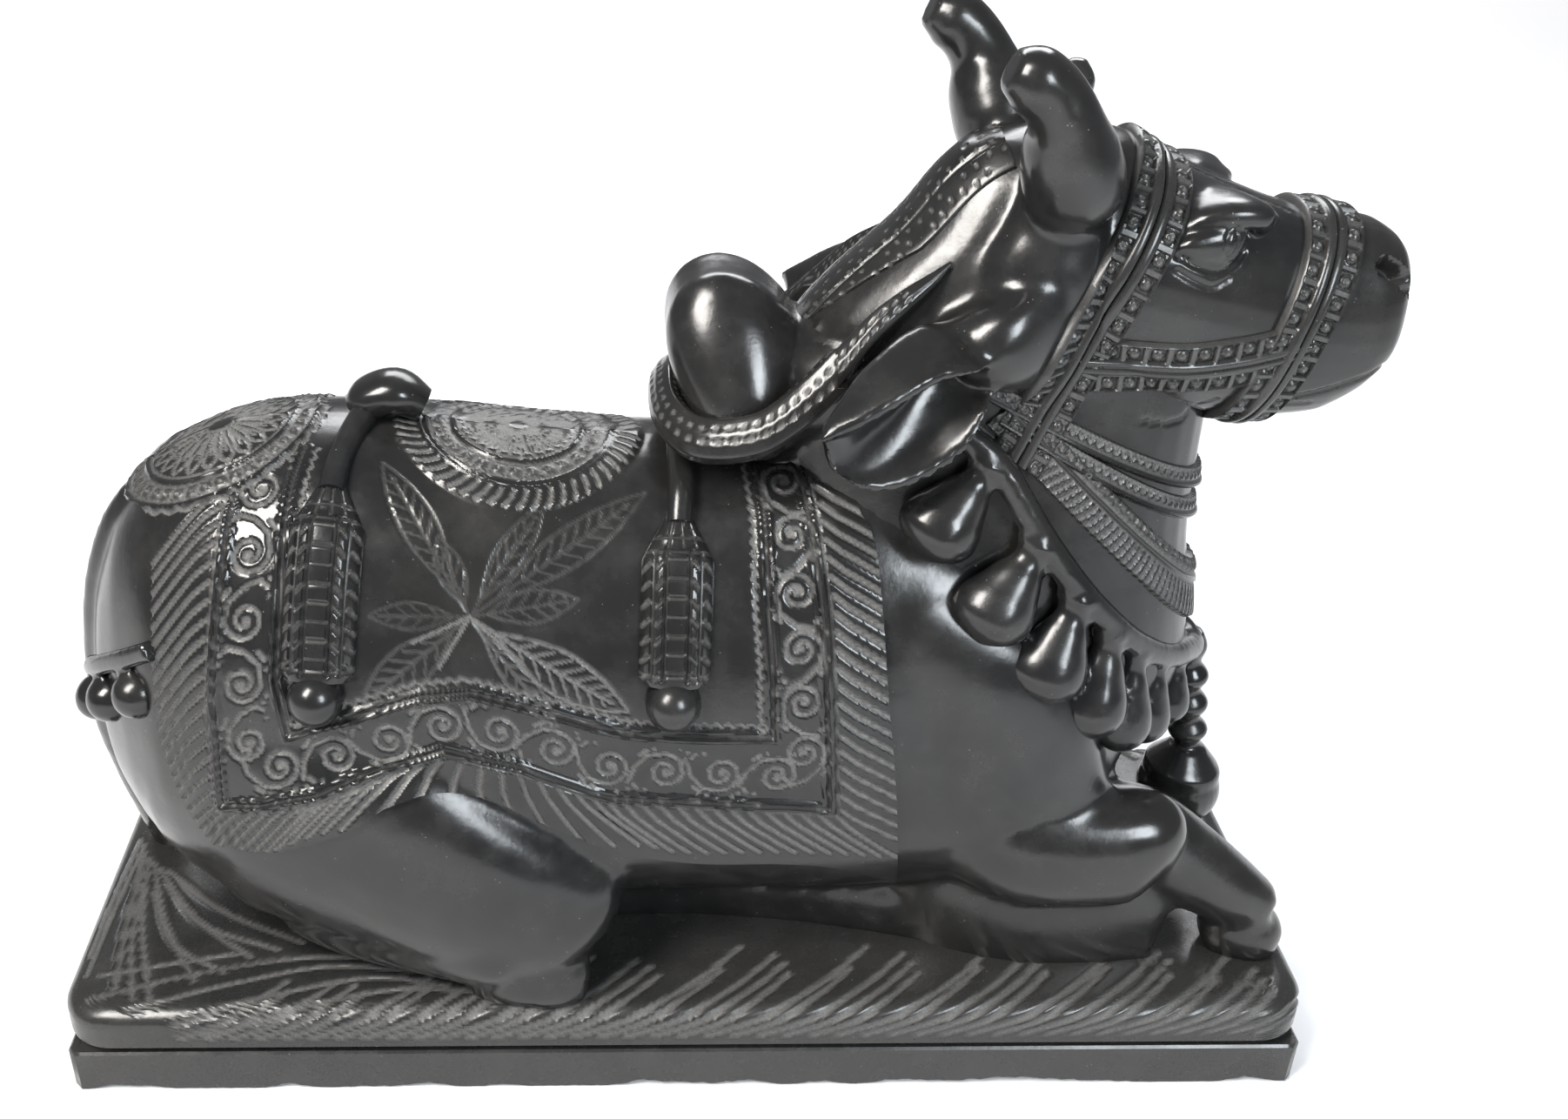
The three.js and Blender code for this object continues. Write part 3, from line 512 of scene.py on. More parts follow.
# %% Draw the ears section by section
EAR_SECTIONS = [  # rim, ridge, back, lower lip, floor of the hollow
    [(150, -30, 328), (146, -26, 340), (148, -20, 328), (152, -28, 314), (150, -26, 322)],
    [(138, -44, 328), (132, -35, 342), (136, -28, 328), (139, -43, 313), (136, -38, 321)],
    [(128, -61, 326), (119, -43, 339), (125, -36, 322), (130, -60, 311), (121, -47, 319)],
    [(119, -73, 325), (107, -49, 338), (114, -42, 316), (123, -70, 305), (109, -52, 318)],
    [(110, -79, 327), (97, -54, 338), (104, -47, 311), (118, -76, 295), (100, -57, 316)],
    [(99, -83, 327), (86, -60, 335), (94, -53, 305), (109, -79, 285), (91, -63, 309)],
    [(88, -88, 323), (77, -66, 330), (85, -58, 298), (97, -82, 278), (82, -70, 302)],
    [(76, -92, 317), (67, -73, 323), (74, -65, 293), (84, -85, 274), (72, -77, 297)],
    [(63, -95, 310), (59, -81, 315), (63, -73, 290), (71, -88, 276), (63, -84, 292)],
    [(49, -96, 303), (51, -89, 307), (53, -80, 293), (58, -91, 285), (54, -91, 293)],
]
LIP = 0.1  # how much of the way into the hollow the lips are thick


def ear_rings(side):
    """Closed sections of one ear: each corner list is smoothed round, with the two lips kept narrow."""
    drawn = []
    for rim, ridge, back, lower, floor in (np.array(row, float) for row in EAR_SECTIONS):
        around = [rim, rim * 0.45 + ridge * 0.55 + (0, 0, 1.5), ridge,
                  ridge * 0.5 + back * 0.5 + (0, 5, 0), back,
                  back * 0.5 + lower * 0.5 + (0, 4, -4), lower]
        within = [lower * (1 - LIP) + rim * LIP, lower * 0.45 + floor * 0.55 + (0, 1, -3), floor,
                  floor * 0.45 + rim * 0.55 + (0, 3, 2), rim * (1 - LIP) + lower * LIP]
        outside = [flowing(np.array(around), t) for t in np.linspace(0, 1, 30)]
        inside = [flowing(np.array(within), t) for t in np.linspace(0, 1, 22)]
        drawn.append(np.array(outside + inside))
    drawn = np.array(drawn) * (1, side, 1)
    share = np.linspace(0, 1, 60)
    return np.array([[flowing(drawn[:, k], t) for k in range(drawn.shape[1])] for t in share])


def ears():
    return [lofted("ear", ear_rings(side)) for side in (RIGHT, LEFT)]


print("ear sections", len(EAR_SECTIONS))

# %% [markdown]
# ## The head in a finer skin
#
# Head, neck, hump, horns and ears carry thin lips and long calm highlights, which need smaller faces than
# the trunk. They are made as one skin of a finer grain, a hair's breadth larger than the trunk's neck,
# and cut off inside the chest, where nothing shows. The creases round the ears and under the horns are
# then rubbed down. The head ends under the halter's forehead band, where the face takes over.

# %% Fuse the head
HEAD_FOOT = 205  # height of the cut
HEAD_FULLER = 0.4
RUBBED = [(128, 52, 340, 30), (142, 52, 318, 26), (112, 46, 344, 22), (150, 44, 374, 20), (60, 34, 300, 18)]

head = fused(neck_forms(HEAD_FULLER) + head_forms(HEAD_FULLER) + ears(), "head", grain=1.8, soften=6)
rub(head, [(x, side * y, z, radius) for side in (RIGHT, LEFT) for x, y, z, radius in RUBBED], rounds=60)
keep_one_side(head, (0, 0, HEAD_FOOT), (0, 0, 1))
print("head faces", len(head.data.polygons))

# %% [markdown]
# ## A chisel
#
# Everything that follows is cut into a skin of small faces. A drawing gives each point of the skin a flat
# place in mm. The chisel looks up the points near a line of the drawing and notes how far each is sunk or
# raised, and how much of the polish is gone. Nothing moves until all cuts are noted, so crossing cuts
# don't dig twice.

# %% Grooves, ribs and beads
class Carving:
    """Points of a drawing in mm, with how far each is raised, sunk and roughened."""

    def __init__(self, at, cell=8.0):
        self.at = np.asarray(at, float)
        self.rise, self.sink, self.cut = (np.zeros(len(self.at)) for _ in range(3))
        self.cell = cell
        keys = np.floor(self.at / cell).astype(int)
        order = np.lexsort(keys.T)
        changes = np.any(np.diff(keys[order], axis=0) != 0, axis=1)
        groups = np.split(order, np.flatnonzero(changes) + 1)
        self.squares = {tuple(keys[group[0]]): group for group in groups}

    def near(self, a, b, reach):
        low = np.floor((np.minimum(a, b) - reach) / self.cell).astype(int)
        high = np.floor((np.maximum(a, b) + reach) / self.cell).astype(int)
        found = []
        for key in np.ndindex(*(high - low + 1)):
            group = self.squares.get(tuple(low + key))
            if group is not None:
                found.append(group)
        if not found:
            return np.zeros(0, int), np.zeros(0)
        found = np.concatenate(found)
        spots, along = self.at[found], b - a
        share = np.clip((spots - a) @ along / max(along @ along, 1e-9), 0, 1)
        far = np.linalg.norm(spots - a - share[:, None] * along, axis=1)
        return found[far < reach], far[far < reach]

    def groove(self, path, width, depth, rough=1.0):
        path = np.asarray(path, float)
        for a, b in zip(path[:-1], path[1:]):
            near, far = self.near(a, b, width / 2)
            shape = 1 - (2 * far / width) ** 2
            self.sink[near] = np.maximum(self.sink[near], depth * shape)
            self.cut[near] = np.maximum(self.cut[near], rough * np.minimum(1, 1.7 * shape))

    def rib(self, path, width, height):
        path = np.asarray(path, float)
        for a, b in zip(path[:-1], path[1:]):
            near, far = self.near(a, b, width / 2)
            self.rise[near] = np.maximum(self.rise[near], height * np.sqrt(1 - (2 * far / width) ** 2))

    def bead(self, centre, radius, height, dimple=0.0):
        """A round bead in a sunk ring, with a drilled dimple if asked."""
        centre = np.asarray(centre, float)
        self.dot(centre, radius * 1.45, height * 0.5, 0.9)
        near, far = self.near(centre, centre, radius)
        self.sink[near] = 0
        self.cut[near] = 0.25
        self.rise[near] = np.maximum(self.rise[near], height * np.sqrt(1 - (far / radius) ** 2))
        if dimple:
            self.dot(centre, radius * dimple, height * 0.9, 0.9)

    def dot(self, centre, radius, depth, rough=1.0):
        centre = np.asarray(centre, float)
        near, far = self.near(centre, centre, radius)
        shape = 1 - (far / radius) ** 2
        self.sink[near] = np.maximum(self.sink[near], depth * shape)
        self.cut[near] = np.maximum(self.cut[near], rough * np.minimum(1, 1.7 * shape))

    @property
    def lift(self):
        return self.rise - self.sink


def run_along(path):
    """How far each corner of a path lies from its start."""
    return np.concatenate([[0], np.cumsum(np.linalg.norm(np.diff(path, axis=0), axis=1))])


def length_of(path):
    return np.sum(np.linalg.norm(np.diff(path, axis=0), axis=1))


def walk(path, step, start=0.0):
    """Places every step along a path, with the direction there."""
    path = np.asarray(path, float)
    run = run_along(path)
    for at in np.arange(start, run[-1] + 1e-6, step):
        i = min(np.searchsorted(run, at, side="right") - 1, len(path) - 2)
        along = (path[i + 1] - path[i]) / (run[i + 1] - run[i])
        yield path[i] + along * (at - run[i]), along


def beside(path, by):
    """A flat path moved sideways, to the left of its direction, with its corners kept sharp."""
    path = np.asarray(path, float)
    along = np.diff(path, axis=0)
    along /= np.linalg.norm(along, axis=1)[:, None]
    left = np.stack([-along[:, 1], along[:, 0]], axis=1)
    before, after = np.vstack([left[:1], left]), np.vstack([left, left[-1:]])
    middle = before + after
    return path + middle * (2 * by / np.sum(middle**2, axis=1))[:, None]


def smooth_path(points, step=4.0):
    points = np.asarray(points, float)
    count = max(2, int(length_of(points) / step))
    return np.array([flowing(points, i / count) for i in range(count + 1)])


test = Carving(np.stack(np.meshgrid(np.arange(20.0), np.arange(20.0)), -1).reshape(-1, 2))
test.groove([[2, 2], [15, 15]], 3, 1)
print("a test groove touched", int((test.sink > 0).sum()), "points")

# %% [markdown]
# ## Unrolling the flank
#
# The saddle cloth hugs the trunk like a skin. Its ornament is drawn flat, in mm along the bull and mm
# down from the spine. To carry a drawing over, the trunk's forms are measured with rays, section by
# section, and the crease between barrel and haunch is averaged away, as a cloth would bridge it.

# %% Measure the trunk in sections
TRUNK_AXIS = 108.0
SECTION_STEP, DOWN_STEP = 3.0, 2.5
SECTIONS = np.arange(-288.0, 135.0, SECTION_STEP)
TURNS = np.radians(np.arange(0, 156, 1.5))
DOWN = np.arange(-DOWN_STEP, 268.0, DOWN_STEP)  # mm from the spine, one step before it too


def tree_of(piece):
    return BVHTree.FromObject(piece, bpy.context.evaluated_depsgraph_get())


def inward_hit(tree, centre, direction, far=300.0):
    """Where a ray from outside, straight at a centre, first meets the tree: in drawn mm, or None."""
    start = on_plinth(np.asarray(centre) + far * np.asarray(direction))
    place = tree.ray_cast(Vector(start), Vector(-np.asarray(direction, float)), far * MM)[0]
    return None if place is None else np.array(place) / MM - (0, 0, PLINTH_TOP)


def soften(table, rounds):
    for _ in range(rounds):
        for axis in (0, 1):
            wide = np.pad(table, [(1, 1) if k == axis else (0, 0) for k in (0, 1)], mode="reflect")
            low, high = (np.take(wide, range(k, k + table.shape[axis]), axis) for k in (0, 2))
            table = (low + 2 * table + high) / 4
    return table


def measure_trunk():
    trunk = merged(trunk_forms(), "trunk")
    tree = tree_of(trunk)
    reach = np.zeros((len(SECTIONS), len(TURNS)))
    for i, x in enumerate(SECTIONS):
        for j, turn in enumerate(TURNS):
            place = inward_hit(tree, (x, 0, TRUNK_AXIS), (0, -math.sin(turn), math.cos(turn)))
            if place is not None:
                reach[i, j] = math.hypot(place[1], place[2] - TRUNK_AXIS)
    bpy.data.objects.remove(trunk)
    reach = soften(reach, 6)
    out, up = reach * np.sin(TURNS), TRUNK_AXIS + reach * np.cos(TURNS)
    arc = np.cumsum(np.hypot(np.diff(out, axis=1), np.diff(up, axis=1)), axis=1)
    arc = np.hstack([np.zeros((len(SECTIONS), 1)), arc])
    skin = np.zeros((len(SECTIONS), len(DOWN), 2))
    for i in range(len(SECTIONS)):
        skin[i, 1:, 0] = np.interp(DOWN[1:], arc[i], out[i])
        skin[i, 1:, 1] = np.interp(DOWN[1:], arc[i], up[i])
    skin[:, 0] = skin[:, 2] * (-1, 1)
    return arc, skin


ARC, SKIN = measure_trunk()


def cubic(t):
    """The shares of four neighbours in a smooth line's point at t, between the second and the third."""
    return (((2 - t) * t - 1) * t / 2, ((3 * t - 5) * t * t + 2) / 2,
            ((4 - 3 * t) * t + 1) * t / 2, (t - 1) * t * t / 2)


class Wrap:
    """A measured skin: a table of places in drawn mm, at even steps of two flat measures."""

    def __init__(self, table, start, step):
        self.table, self.start, self.step = table, start, step
        i, j = table.shape[0] // 2, table.shape[1] // 2
        self.turn = 1.0
        middle = np.array([[start[0] + i * step[0], start[1] + j * step[1]]])
        place, out = self.skin(middle)
        self.turn = 1.0 if (place - table.reshape(-1, 3).mean(axis=0))[0] @ out[0] > 0 else -1.0

    def place(self, u, v):
        i, j = (u - self.start[0]) / self.step[0], (v - self.start[1]) / self.step[1]
        i = np.clip(i, 1, self.table.shape[0] - 2.001)
        j = np.clip(j, 1, self.table.shape[1] - 2.001)
        a, b = i.astype(int), j.astype(int)
        sums = np.zeros(u.shape + (3,))
        for m, p in enumerate(cubic(i - a)):
            for n, q in enumerate(cubic(j - b)):
                sums += (p * q)[..., None] * self.table[a + m - 1, b + n - 1]
        return sums

    def skin(self, flat_points):
        """Places and outward directions of flat points."""
        u, v = np.asarray(flat_points, float).T
        du, dv = self.step
        along = self.place(u + du * 0.7, v) - self.place(u - du * 0.7, v)
        down = self.place(u, v + dv * 0.7) - self.place(u, v - dv * 0.7)
        out = np.cross(down, along) * self.turn
        return self.place(u, v), out / np.maximum(np.linalg.norm(out, axis=1), 1e-9)[:, None]


TRUNK = Wrap(
    np.dstack([np.broadcast_to(SECTIONS[:, None], SKIN.shape[:2]), -SKIN[..., 0], SKIN[..., 1]]),
    (SECTIONS[0], DOWN[0]), (SECTION_STEP, DOWN_STEP))


def flat(x, y, z):
    """A place on the flank laid flat: y is its distance from the middle, or None to go by height."""
    at = np.clip((x - SECTIONS[0]) / SECTION_STEP, 0, len(SECTIONS) - 1.001)
    i, t = int(at), at - int(at)
    if y is None:
        down = [np.interp(-z, -SKIN[k, 1:, 1], DOWN[1:]) for k in (i, i + 1)]
    else:
        turn = math.atan2(abs(y), z - TRUNK_AXIS)
        down = [np.interp(turn, TURNS, ARC[k]) for k in (i, i + 1)]
    return np.array([x, (1 - t) * down[0] + t * down[1]])


print("the flank at the saddle is", round(float(flat(-60, None, 102)[1])), "mm deep")

# %% [markdown]
# ## The edges of the saddle cloth
#
# The cloth has a hanging edge at the rear, the bottom and the front, a line where its fringe starts, and
# a line around the plain field. Each is a row of places on the flank, in the order rear, bottom, front.

# %% Draw the edges on the unrolled flank
def drawn_line(places):
    return np.array([flat(*place) for place in places])


REAR_EDGE = smooth_path(np.vstack([[[-262.5, 0]], drawn_line([
    (-261, 9, 237), (-255, 22, 239), (-246, 33, 241), (-241, 51, 225), (-241, 62, 204), (-243, 71, 172),
    (-242, 76, 142), (-233, 88, 111), (-222, 94, 92)])]))
BOTTOM_EDGE = smooth_path(drawn_line([
    (-222, 94, 92), (-202, 102, 94), (-181, 107, 101), (-155, 109, 114), (-136, 103, 125), (-113, 94, 127),
    (-93, 93, 121), (-62, 91, 102), (-29, 88, 86), (4, 86, 78), (46, 85, 77), (71, 83, 73), (103, 73, 56)]))
FRONT_EDGE = smooth_path(np.vstack([[[66, 0]], drawn_line([
    (74, 45, 250), (81, 55, 235), (85, 72, 208), (89, 90, 174), (95, 93, 127), (103, 73, 56)])]))
FRINGE_REAR = drawn_line([
    (-200, 36, 256), (-205, 51, 247), (-210, 72, 210), (-215, 82, 170), (-215, 96, 117)])
FRINGE_BOTTOM = drawn_line([
    (-215, 96, 117), (-195, None, 121), (-167, None, 129), (-139, None, 140), (-111, None, 148),
    (-77, None, 137), (-37, None, 119), (3, None, 116), (44, None, 113), (67, 90, 111)])
FRINGE_FRONT = drawn_line([(67, 90, 111), (63, 84, 170), (60, 72, 209), (55, 51, 241), (50, 24, 257)])
FIELD_REAR = drawn_line([
    (-172, 26, 265), (-176, 44, 256), (-178, 57, 245), (-180, 76, 213), (-183, 86, 182), (-179, 92, 159)])
FIELD_BOTTOM = drawn_line([
    (-179, 92, 159), (-153, None, 167), (-122, None, 176), (-99, None, 177), (-60, None, 165),
    (-29, None, 155), (3, None, 153), (37, 87, 152)])
FIELD_FRONT = drawn_line([(37, 87, 152), (36, 80, 186), (34, 72, 209), (33, 50, 241), (30, 24, 258)])
FRINGE_LINE = np.vstack([FRINGE_REAR, FRINGE_BOTTOM[1:], FRINGE_FRONT[1:]])
FIELD_LINE = np.vstack([FIELD_REAR, FIELD_BOTTOM[1:], FIELD_FRONT[1:]])
print("the fringe line turns at", np.round(FRINGE_BOTTOM[[0, -1]]).tolist())

# %% [markdown]
# ## Fringe
#
# The fringe is a row of slanting threads. The carver cut the gaps between them, each with one pull of a
# round chisel. They lean away from the middle of the belly, and fan out where the cloth is lifted by the
# thigh.

# %% Cut the fringe and the ribs above it
FRINGE_PITCH = 8.2


def leaning(run, share):
    """The way a thread hangs at a share of its run, in the flat drawing."""
    if run == "rear":
        lean = (-1, 0.6)
    elif run == "front":
        lean = (1, 0.62)
    else:
        side = np.interp(share, [0, 0.3, 0.42, 0.56, 1], [-0.95, -0.75, 0, 0.75, 0.85])
        lean = (side, 0.75)
    return np.array(lean) / np.linalg.norm(lean)


def cut_fringe(work):
    for run, line in (("rear", FRINGE_REAR), ("bottom", FRINGE_BOTTOM), ("front", FRINGE_FRONT)):
        places = list(walk(line, FRINGE_PITCH, start=3))
        for count, (place, _) in enumerate(places):
            fall = leaning(run, count / len(places))
            sway = np.array([-fall[1], fall[0]]) * 1.2
            work.groove([place + fall * 5, place + fall * 14 + sway, place + fall * 46], 3.0, 1.5)
    for by, width, height in ((-3.9, 2.6, 1.5), (0, 2.8, 1.9)):
        work.rib(beside(FRINGE_LINE, by), width, height)
    work.groove(beside(FRINGE_LINE, -1.9), 1.5, 0.7, rough=0.6)
    work.groove(beside(FRINGE_LINE, 2.1), 1.6, 0.8, rough=0.8)


print("about", round(length_of(FRINGE_LINE) / FRINGE_PITCH), "threads")

# %% [markdown]
# ## The running scroll
#
# Between fringe and field runs a vine of spirals. Each spiral starts at the edge of the band, curls in
# with a turn and a half, and its tail goes back to the spiral before. Every second one is turned over, so
# the vine swings from side to side. Buds and dots fill the corners.

# %% Cut the scroll between two lines
SCROLL_PITCH, SPIRAL_RADIUS = 26.5, 9.3


def spiral(centre, along, side, turns=1.55):
    across = np.array([-along[1], along[0]]) * side
    angles = np.radians(-90) + np.linspace(0, turns * 2 * math.pi, 26)
    radii = np.linspace(SPIRAL_RADIUS, 1.6, 26)
    curl = centre + (radii * np.cos(angles))[:, None] * along + (radii * np.sin(angles))[:, None] * across
    back = [centre - along * 17 + across * 6.5, centre - along * 14.5 - across,
            centre - along * 8 - across * 8]
    return np.vstack([back, curl])


def cut_scroll(work, outer, inner, small=True):
    outer, inner = (np.array([flowing(line, t) for t in np.linspace(0, 1, 41)]) for line in (outer, inner))
    middle = outer * 0.52 + inner * 0.48
    length = length_of(middle)
    pitch = length / max(1, round(length / SCROLL_PITCH))
    for i, (place, along) in enumerate(walk(middle, pitch, start=pitch / 2)):
        side = 1 if i % 2 else -1
        across = np.array([-along[1], along[0]]) * side
        work.groove(spiral(place, along, side), 2.3, 1.15)
        work.dot(place + along * 0.3, 1.8, 1.0)
        if small:
            gap = place - along * pitch / 2
            work.groove([gap + across * 9.6, gap + across * 7.4 - along * 1.5], 2.2, 0.9)
            work.groove([gap - across * 10.5 + along * 4, gap - across * 8 + along * 1], 2.6, 1.0)
            for reach in (-3.5, 4.0):
                work.dot(gap + across * 10.2 + along * reach, 1.1, 0.7)
                work.dot(place - across * 11.6 + along * reach * 1.6, 1.0, 0.7)


def cut_borders(work, small=True):
    cut_scroll(work, FRINGE_REAR, FIELD_REAR, small)
    cut_scroll(work, FRINGE_BOTTOM, FIELD_BOTTOM, small)
    cut_scroll(work, FRINGE_FRONT, FIELD_FRONT, small)
    for by, width, height in ((2.6, 2.8, 1.6), (-1.6, 2.5, 1.3)):
        work.rib(beside(FIELD_LINE, by), width, height)
    work.groove(beside(FIELD_LINE, 0.3), 1.6, 0.8, rough=0.5)
    if small:
        wave = [p + np.array([-d[1], d[0]]) * (-5.2 + (0.9 if i % 2 else -0.9))
                for i, (p, d) in enumerate(walk(FIELD_LINE, 2.6))]
        work.groove(wave, 1.5, 0.7)


print("scroll pitch", SCROLL_PITCH, "mm")

# %% [markdown]
# ## Medallions on the spine
#
# Two ovals lie across the spine: petals within a beaded ring on the rump, and rays within beads and
# leaves on the loins. They are drawn in rings, as shares of the oval, and every ring is filled by
# stepping round the half of the oval that lies on one flank.

# %% Cut the medallions
RUMP_OVAL = (-215, 46.5, 48)
LOIN_OVAL = (-79, 57, 51)


def oval_point(oval, share, turn):
    x, long, wide = oval
    return np.array([x + long * share * math.cos(turn), wide * share * math.sin(turn)])


def ring_path(oval, share, waves=0, swing=0.0):
    turns = np.linspace(-0.1, math.pi + 0.1, 121)
    return np.array([oval_point(oval, share + swing * abs(math.sin(waves * t / 2)), t) for t in turns])


def clear_oval(work, oval, swell):
    """Wipes what was cut under a medallion, and raises its disc."""
    x, long, wide = oval
    share = np.hypot((work.at[:, 0] - x) / long, work.at[:, 1] / wide)
    inside = share < 1
    work.sink[inside], work.cut[inside], work.rise[inside] = 0, 0, 0
    work.rise = np.maximum(work.rise, swell * np.clip((1.03 - share) / 0.05, 0, 1))


def stepped(count):
    return [(k + 0.5) * math.pi / count for k in range(count)]


PETALS, RUMP_BEADS, RAYS, LOIN_BEADS, LOIN_LEAVES = 11, 19, 15, 15, 27  # on half an oval
PETAL = ((0.14, 0), (0.42, 0.26), (0.58, 0.36), (0.66, 0), (0.58, -0.36), (0.42, -0.26), (0.14, 0))
LOIN_LEAF = ((0.84, 0), (0.92, 0.03), (0.99, 0.075))
DISC_SWELL = 1.3


def bead_ring(work, oval, count, share, radius, height, dimple, gap):
    """Drilled beads on half an oval, with a short cut across the ring between each two."""
    for turn in stepped(count):
        work.bead(oval_point(oval, share, turn), radius, height, dimple=dimple)
        half = math.pi / count / 2
        work.groove([oval_point(oval, s, turn + half) for s in gap], 1.5, 0.8)


def cut_rump_medallion(work):
    clear_oval(work, RUMP_OVAL, DISC_SWELL)
    for turn in stepped(PETALS):
        lobe = [oval_point(RUMP_OVAL, share, turn + lean / PETALS * math.pi) for share, lean in PETAL]
        work.groove(smooth_path(lobe, 2), 2.0, 1.0)
        work.groove([oval_point(RUMP_OVAL, 0.3, turn), oval_point(RUMP_OVAL, 0.52, turn)], 1.6, 0.6)
    for share, width in ((0.74, 2.6), (0.96, 2.2)):
        work.rib(ring_path(RUMP_OVAL, share), width, 2.1)
    for share in (0.70, 0.785, 0.92):
        work.groove(ring_path(RUMP_OVAL, share), 1.5, 0.8, rough=0.7)
    bead_ring(work, RUMP_OVAL, RUMP_BEADS, 0.852, 2.5, 2.0, dimple=0.5, gap=(0.8, 0.91))
    work.groove(ring_path(RUMP_OVAL, 0.985, waves=34, swing=0.03), 1.6, 0.9)


def cut_loin_medallion(work):
    clear_oval(work, LOIN_OVAL, DISC_SWELL)
    for turn in stepped(RAYS):
        work.groove([oval_point(LOIN_OVAL, s, turn) for s in (0.1, 0.42)], 2.0, 0.9)
        work.groove([oval_point(LOIN_OVAL, s, turn + math.pi / (2 * RAYS)) for s in (0.3, 0.46)], 1.7, 0.8)
    work.rib(ring_path(LOIN_OVAL, 0.53), 2.6, 2.1)
    for share in (0.49, 0.575, 0.72):
        work.groove(ring_path(LOIN_OVAL, share), 1.5, 0.8, rough=0.7)
    bead_ring(work, LOIN_OVAL, LOIN_BEADS, 0.645, 2.9, 2.1, dimple=0.45, gap=(0.6, 0.69))
    for share in (0.755, 0.80):
        work.rib(ring_path(LOIN_OVAL, share), 2.0, 2.0)
    for turn in stepped(LOIN_LEAVES):
        work.groove([oval_point(LOIN_OVAL, s, turn + lean) for s, lean in LOIN_LEAF], 2.3, 1.1)


print("medallion beads", RUMP_BEADS + LOIN_BEADS)

# %% [markdown]
# ## The leaf spray
#
# The field is left plain and polished, apart from one spray of leaves. Every leaf is two curved edges, a
# middle vein and short side veins, all thin single cuts. One leaf is cut deep and rough. The others are
# shallower, and almost keep the polish.

# %% Cut the leaves
SPRAY_FOOT = flat(-98, 75, 207)
LEAVES = [  # tip, half width and how much of the polish is cut
    (flat(-28, 85, 164), 10, 0.9), (flat(-20, 38, 248), 8, 0.22), (flat(-138, 33, 261), 8, 0.25),
    (flat(-146, 90, 172), 9, 0.3), (flat(-50, 70, 214), 7, 0.25), (flat(-112, 59, 238), 6, 0.2),
    (flat(-66, 45, 245), 6, 0.2), (flat(-142, 74, 205), 6, 0.2), (flat(-60, 92, 160), 6, 0.4),
]
LEAF_EDGE = ((0.16, 0), (0.34, 0.62), (0.55, 1), (0.75, 0.82), (0.9, 0.4), (1, 0))  # along, wide
VEIN_PITCH = 7.0


def cut_leaf(work, foot, tip, half, rough):
    along = tip - foot
    long = np.linalg.norm(along)
    along /= long
    across = np.array([-along[1], along[0]])
    depth = 0.35 + 0.5 * rough
    work.groove([foot, foot + along * long * 0.9], 1.7, depth, rough)
    for side in (1, -1):
        edge = [foot + along * long * s + across * half * side * w for s, w in LEAF_EDGE]
        work.groove(smooth_path(edge, 3), 1.7, depth, rough)
        for s in np.arange(0.3, 0.88, VEIN_PITCH / long):
            reach = half * np.interp(s + 0.08, *zip(*LEAF_EDGE))
            root = foot + along * long * s
            end = root + along * reach * 0.9 + across * side * reach * 0.85
            work.groove([root, end], 1.4, 0.7 * depth, rough)


def cut_spray(work):
    for tip, half, rough in LEAVES:
        cut_leaf(work, SPRAY_FOOT, tip, half, rough)
    for lean in ((-26, 14), (-14, 24), (22, 18)):
        work.groove([SPRAY_FOOT, SPRAY_FOOT + lean], 1.7, 0.8)


print("leaves", len(LEAVES))

# %% [markdown]
# ## The saddle cloth
#
# A grid is stretched between the spine and the cloth's edges, carved, and its rim is turned in and drawn
# to a point inside the bull, so that it is a closed body. The right flank is carved fully. The left one
# turns away from the camera, and has the same cloth in a coarser hand.

# %% Stretch, carve and close the cloth
def skin_sheet(name, columns, rows, place, inner, sink_rim=5.0):
    """A closed body from a grid: place(s, t) gives points and outward directions for shares s and t."""
    bpy.ops.object.select_all(action="DESELECT")
    bpy.ops.mesh.primitive_grid_add(x_subdivisions=columns, y_subdivisions=rows, size=2)
    piece = bpy.context.object
    piece.name = name
    count = len(piece.data.vertices)
    co = np.zeros(count * 3, np.float32)
    piece.data.vertices.foreach_get("co", co)
    s, t = (co.reshape(-1, 3)[:, :2].astype(float).T + 1) / 2
    points, out, cut = place(s, t)
    piece.data.vertices.foreach_set("co", on_plinth(points).astype(np.float32).ravel())
    bpy.ops.object.mode_set(mode="EDIT")
    bpy.ops.mesh.select_mode(type="VERT")
    bpy.ops.mesh.select_all(action="DESELECT")
    bpy.ops.mesh.select_non_manifold()
    bpy.ops.mesh.extrude_region_move()
    mesh = bmesh.from_edit_mesh(piece.data)
    mesh.verts.ensure_lookup_table()
    for corner in [v for v in mesh.verts if v.select]:
        source = next(e.other_vert(corner) for e in corner.link_edges if e.other_vert(corner).index < count)
        corner.co = Vector(on_plinth(points[source.index] - sink_rim * out[source.index]))
    bmesh.update_edit_mesh(piece.data)
    bpy.ops.mesh.extrude_region_move()
    bpy.ops.mesh.merge(type="COLLAPSE")
    mesh = bmesh.from_edit_mesh(piece.data)
    for corner in [v for v in mesh.verts if v.select]:
        corner.co = Vector(on_plinth(inner))
    bpy.ops.mesh.select_all(action="SELECT")
    bpy.ops.mesh.normals_make_consistent(inside=False)
    bpy.ops.object.mode_set(mode="OBJECT")
    rough_edges(piece, cut)
    return piece


def rough_edges(piece, cut):
    """Writes how rough each point is, for the stone's material."""
    values = np.zeros(len(piece.data.vertices), np.float32)
    values[: len(cut)] = cut
    piece.data.attributes.new("cut", "FLOAT", "POINT").data.foreach_set("value", values)


def at_shares(path, shares):
    run = run_along(path)
    return np.stack([np.interp(shares, run / run[-1], path[:, k]) for k in range(path.shape[1])], axis=-1)


CLOTH_THICKNESS = 3.3
CLOTH_LONG, CLOTH_DEEP = 335, 212  # mm along the bull and down the flank
SADDLE_HEART = -90, 10, 120  # where a cloth's hidden side closes, inside the bull


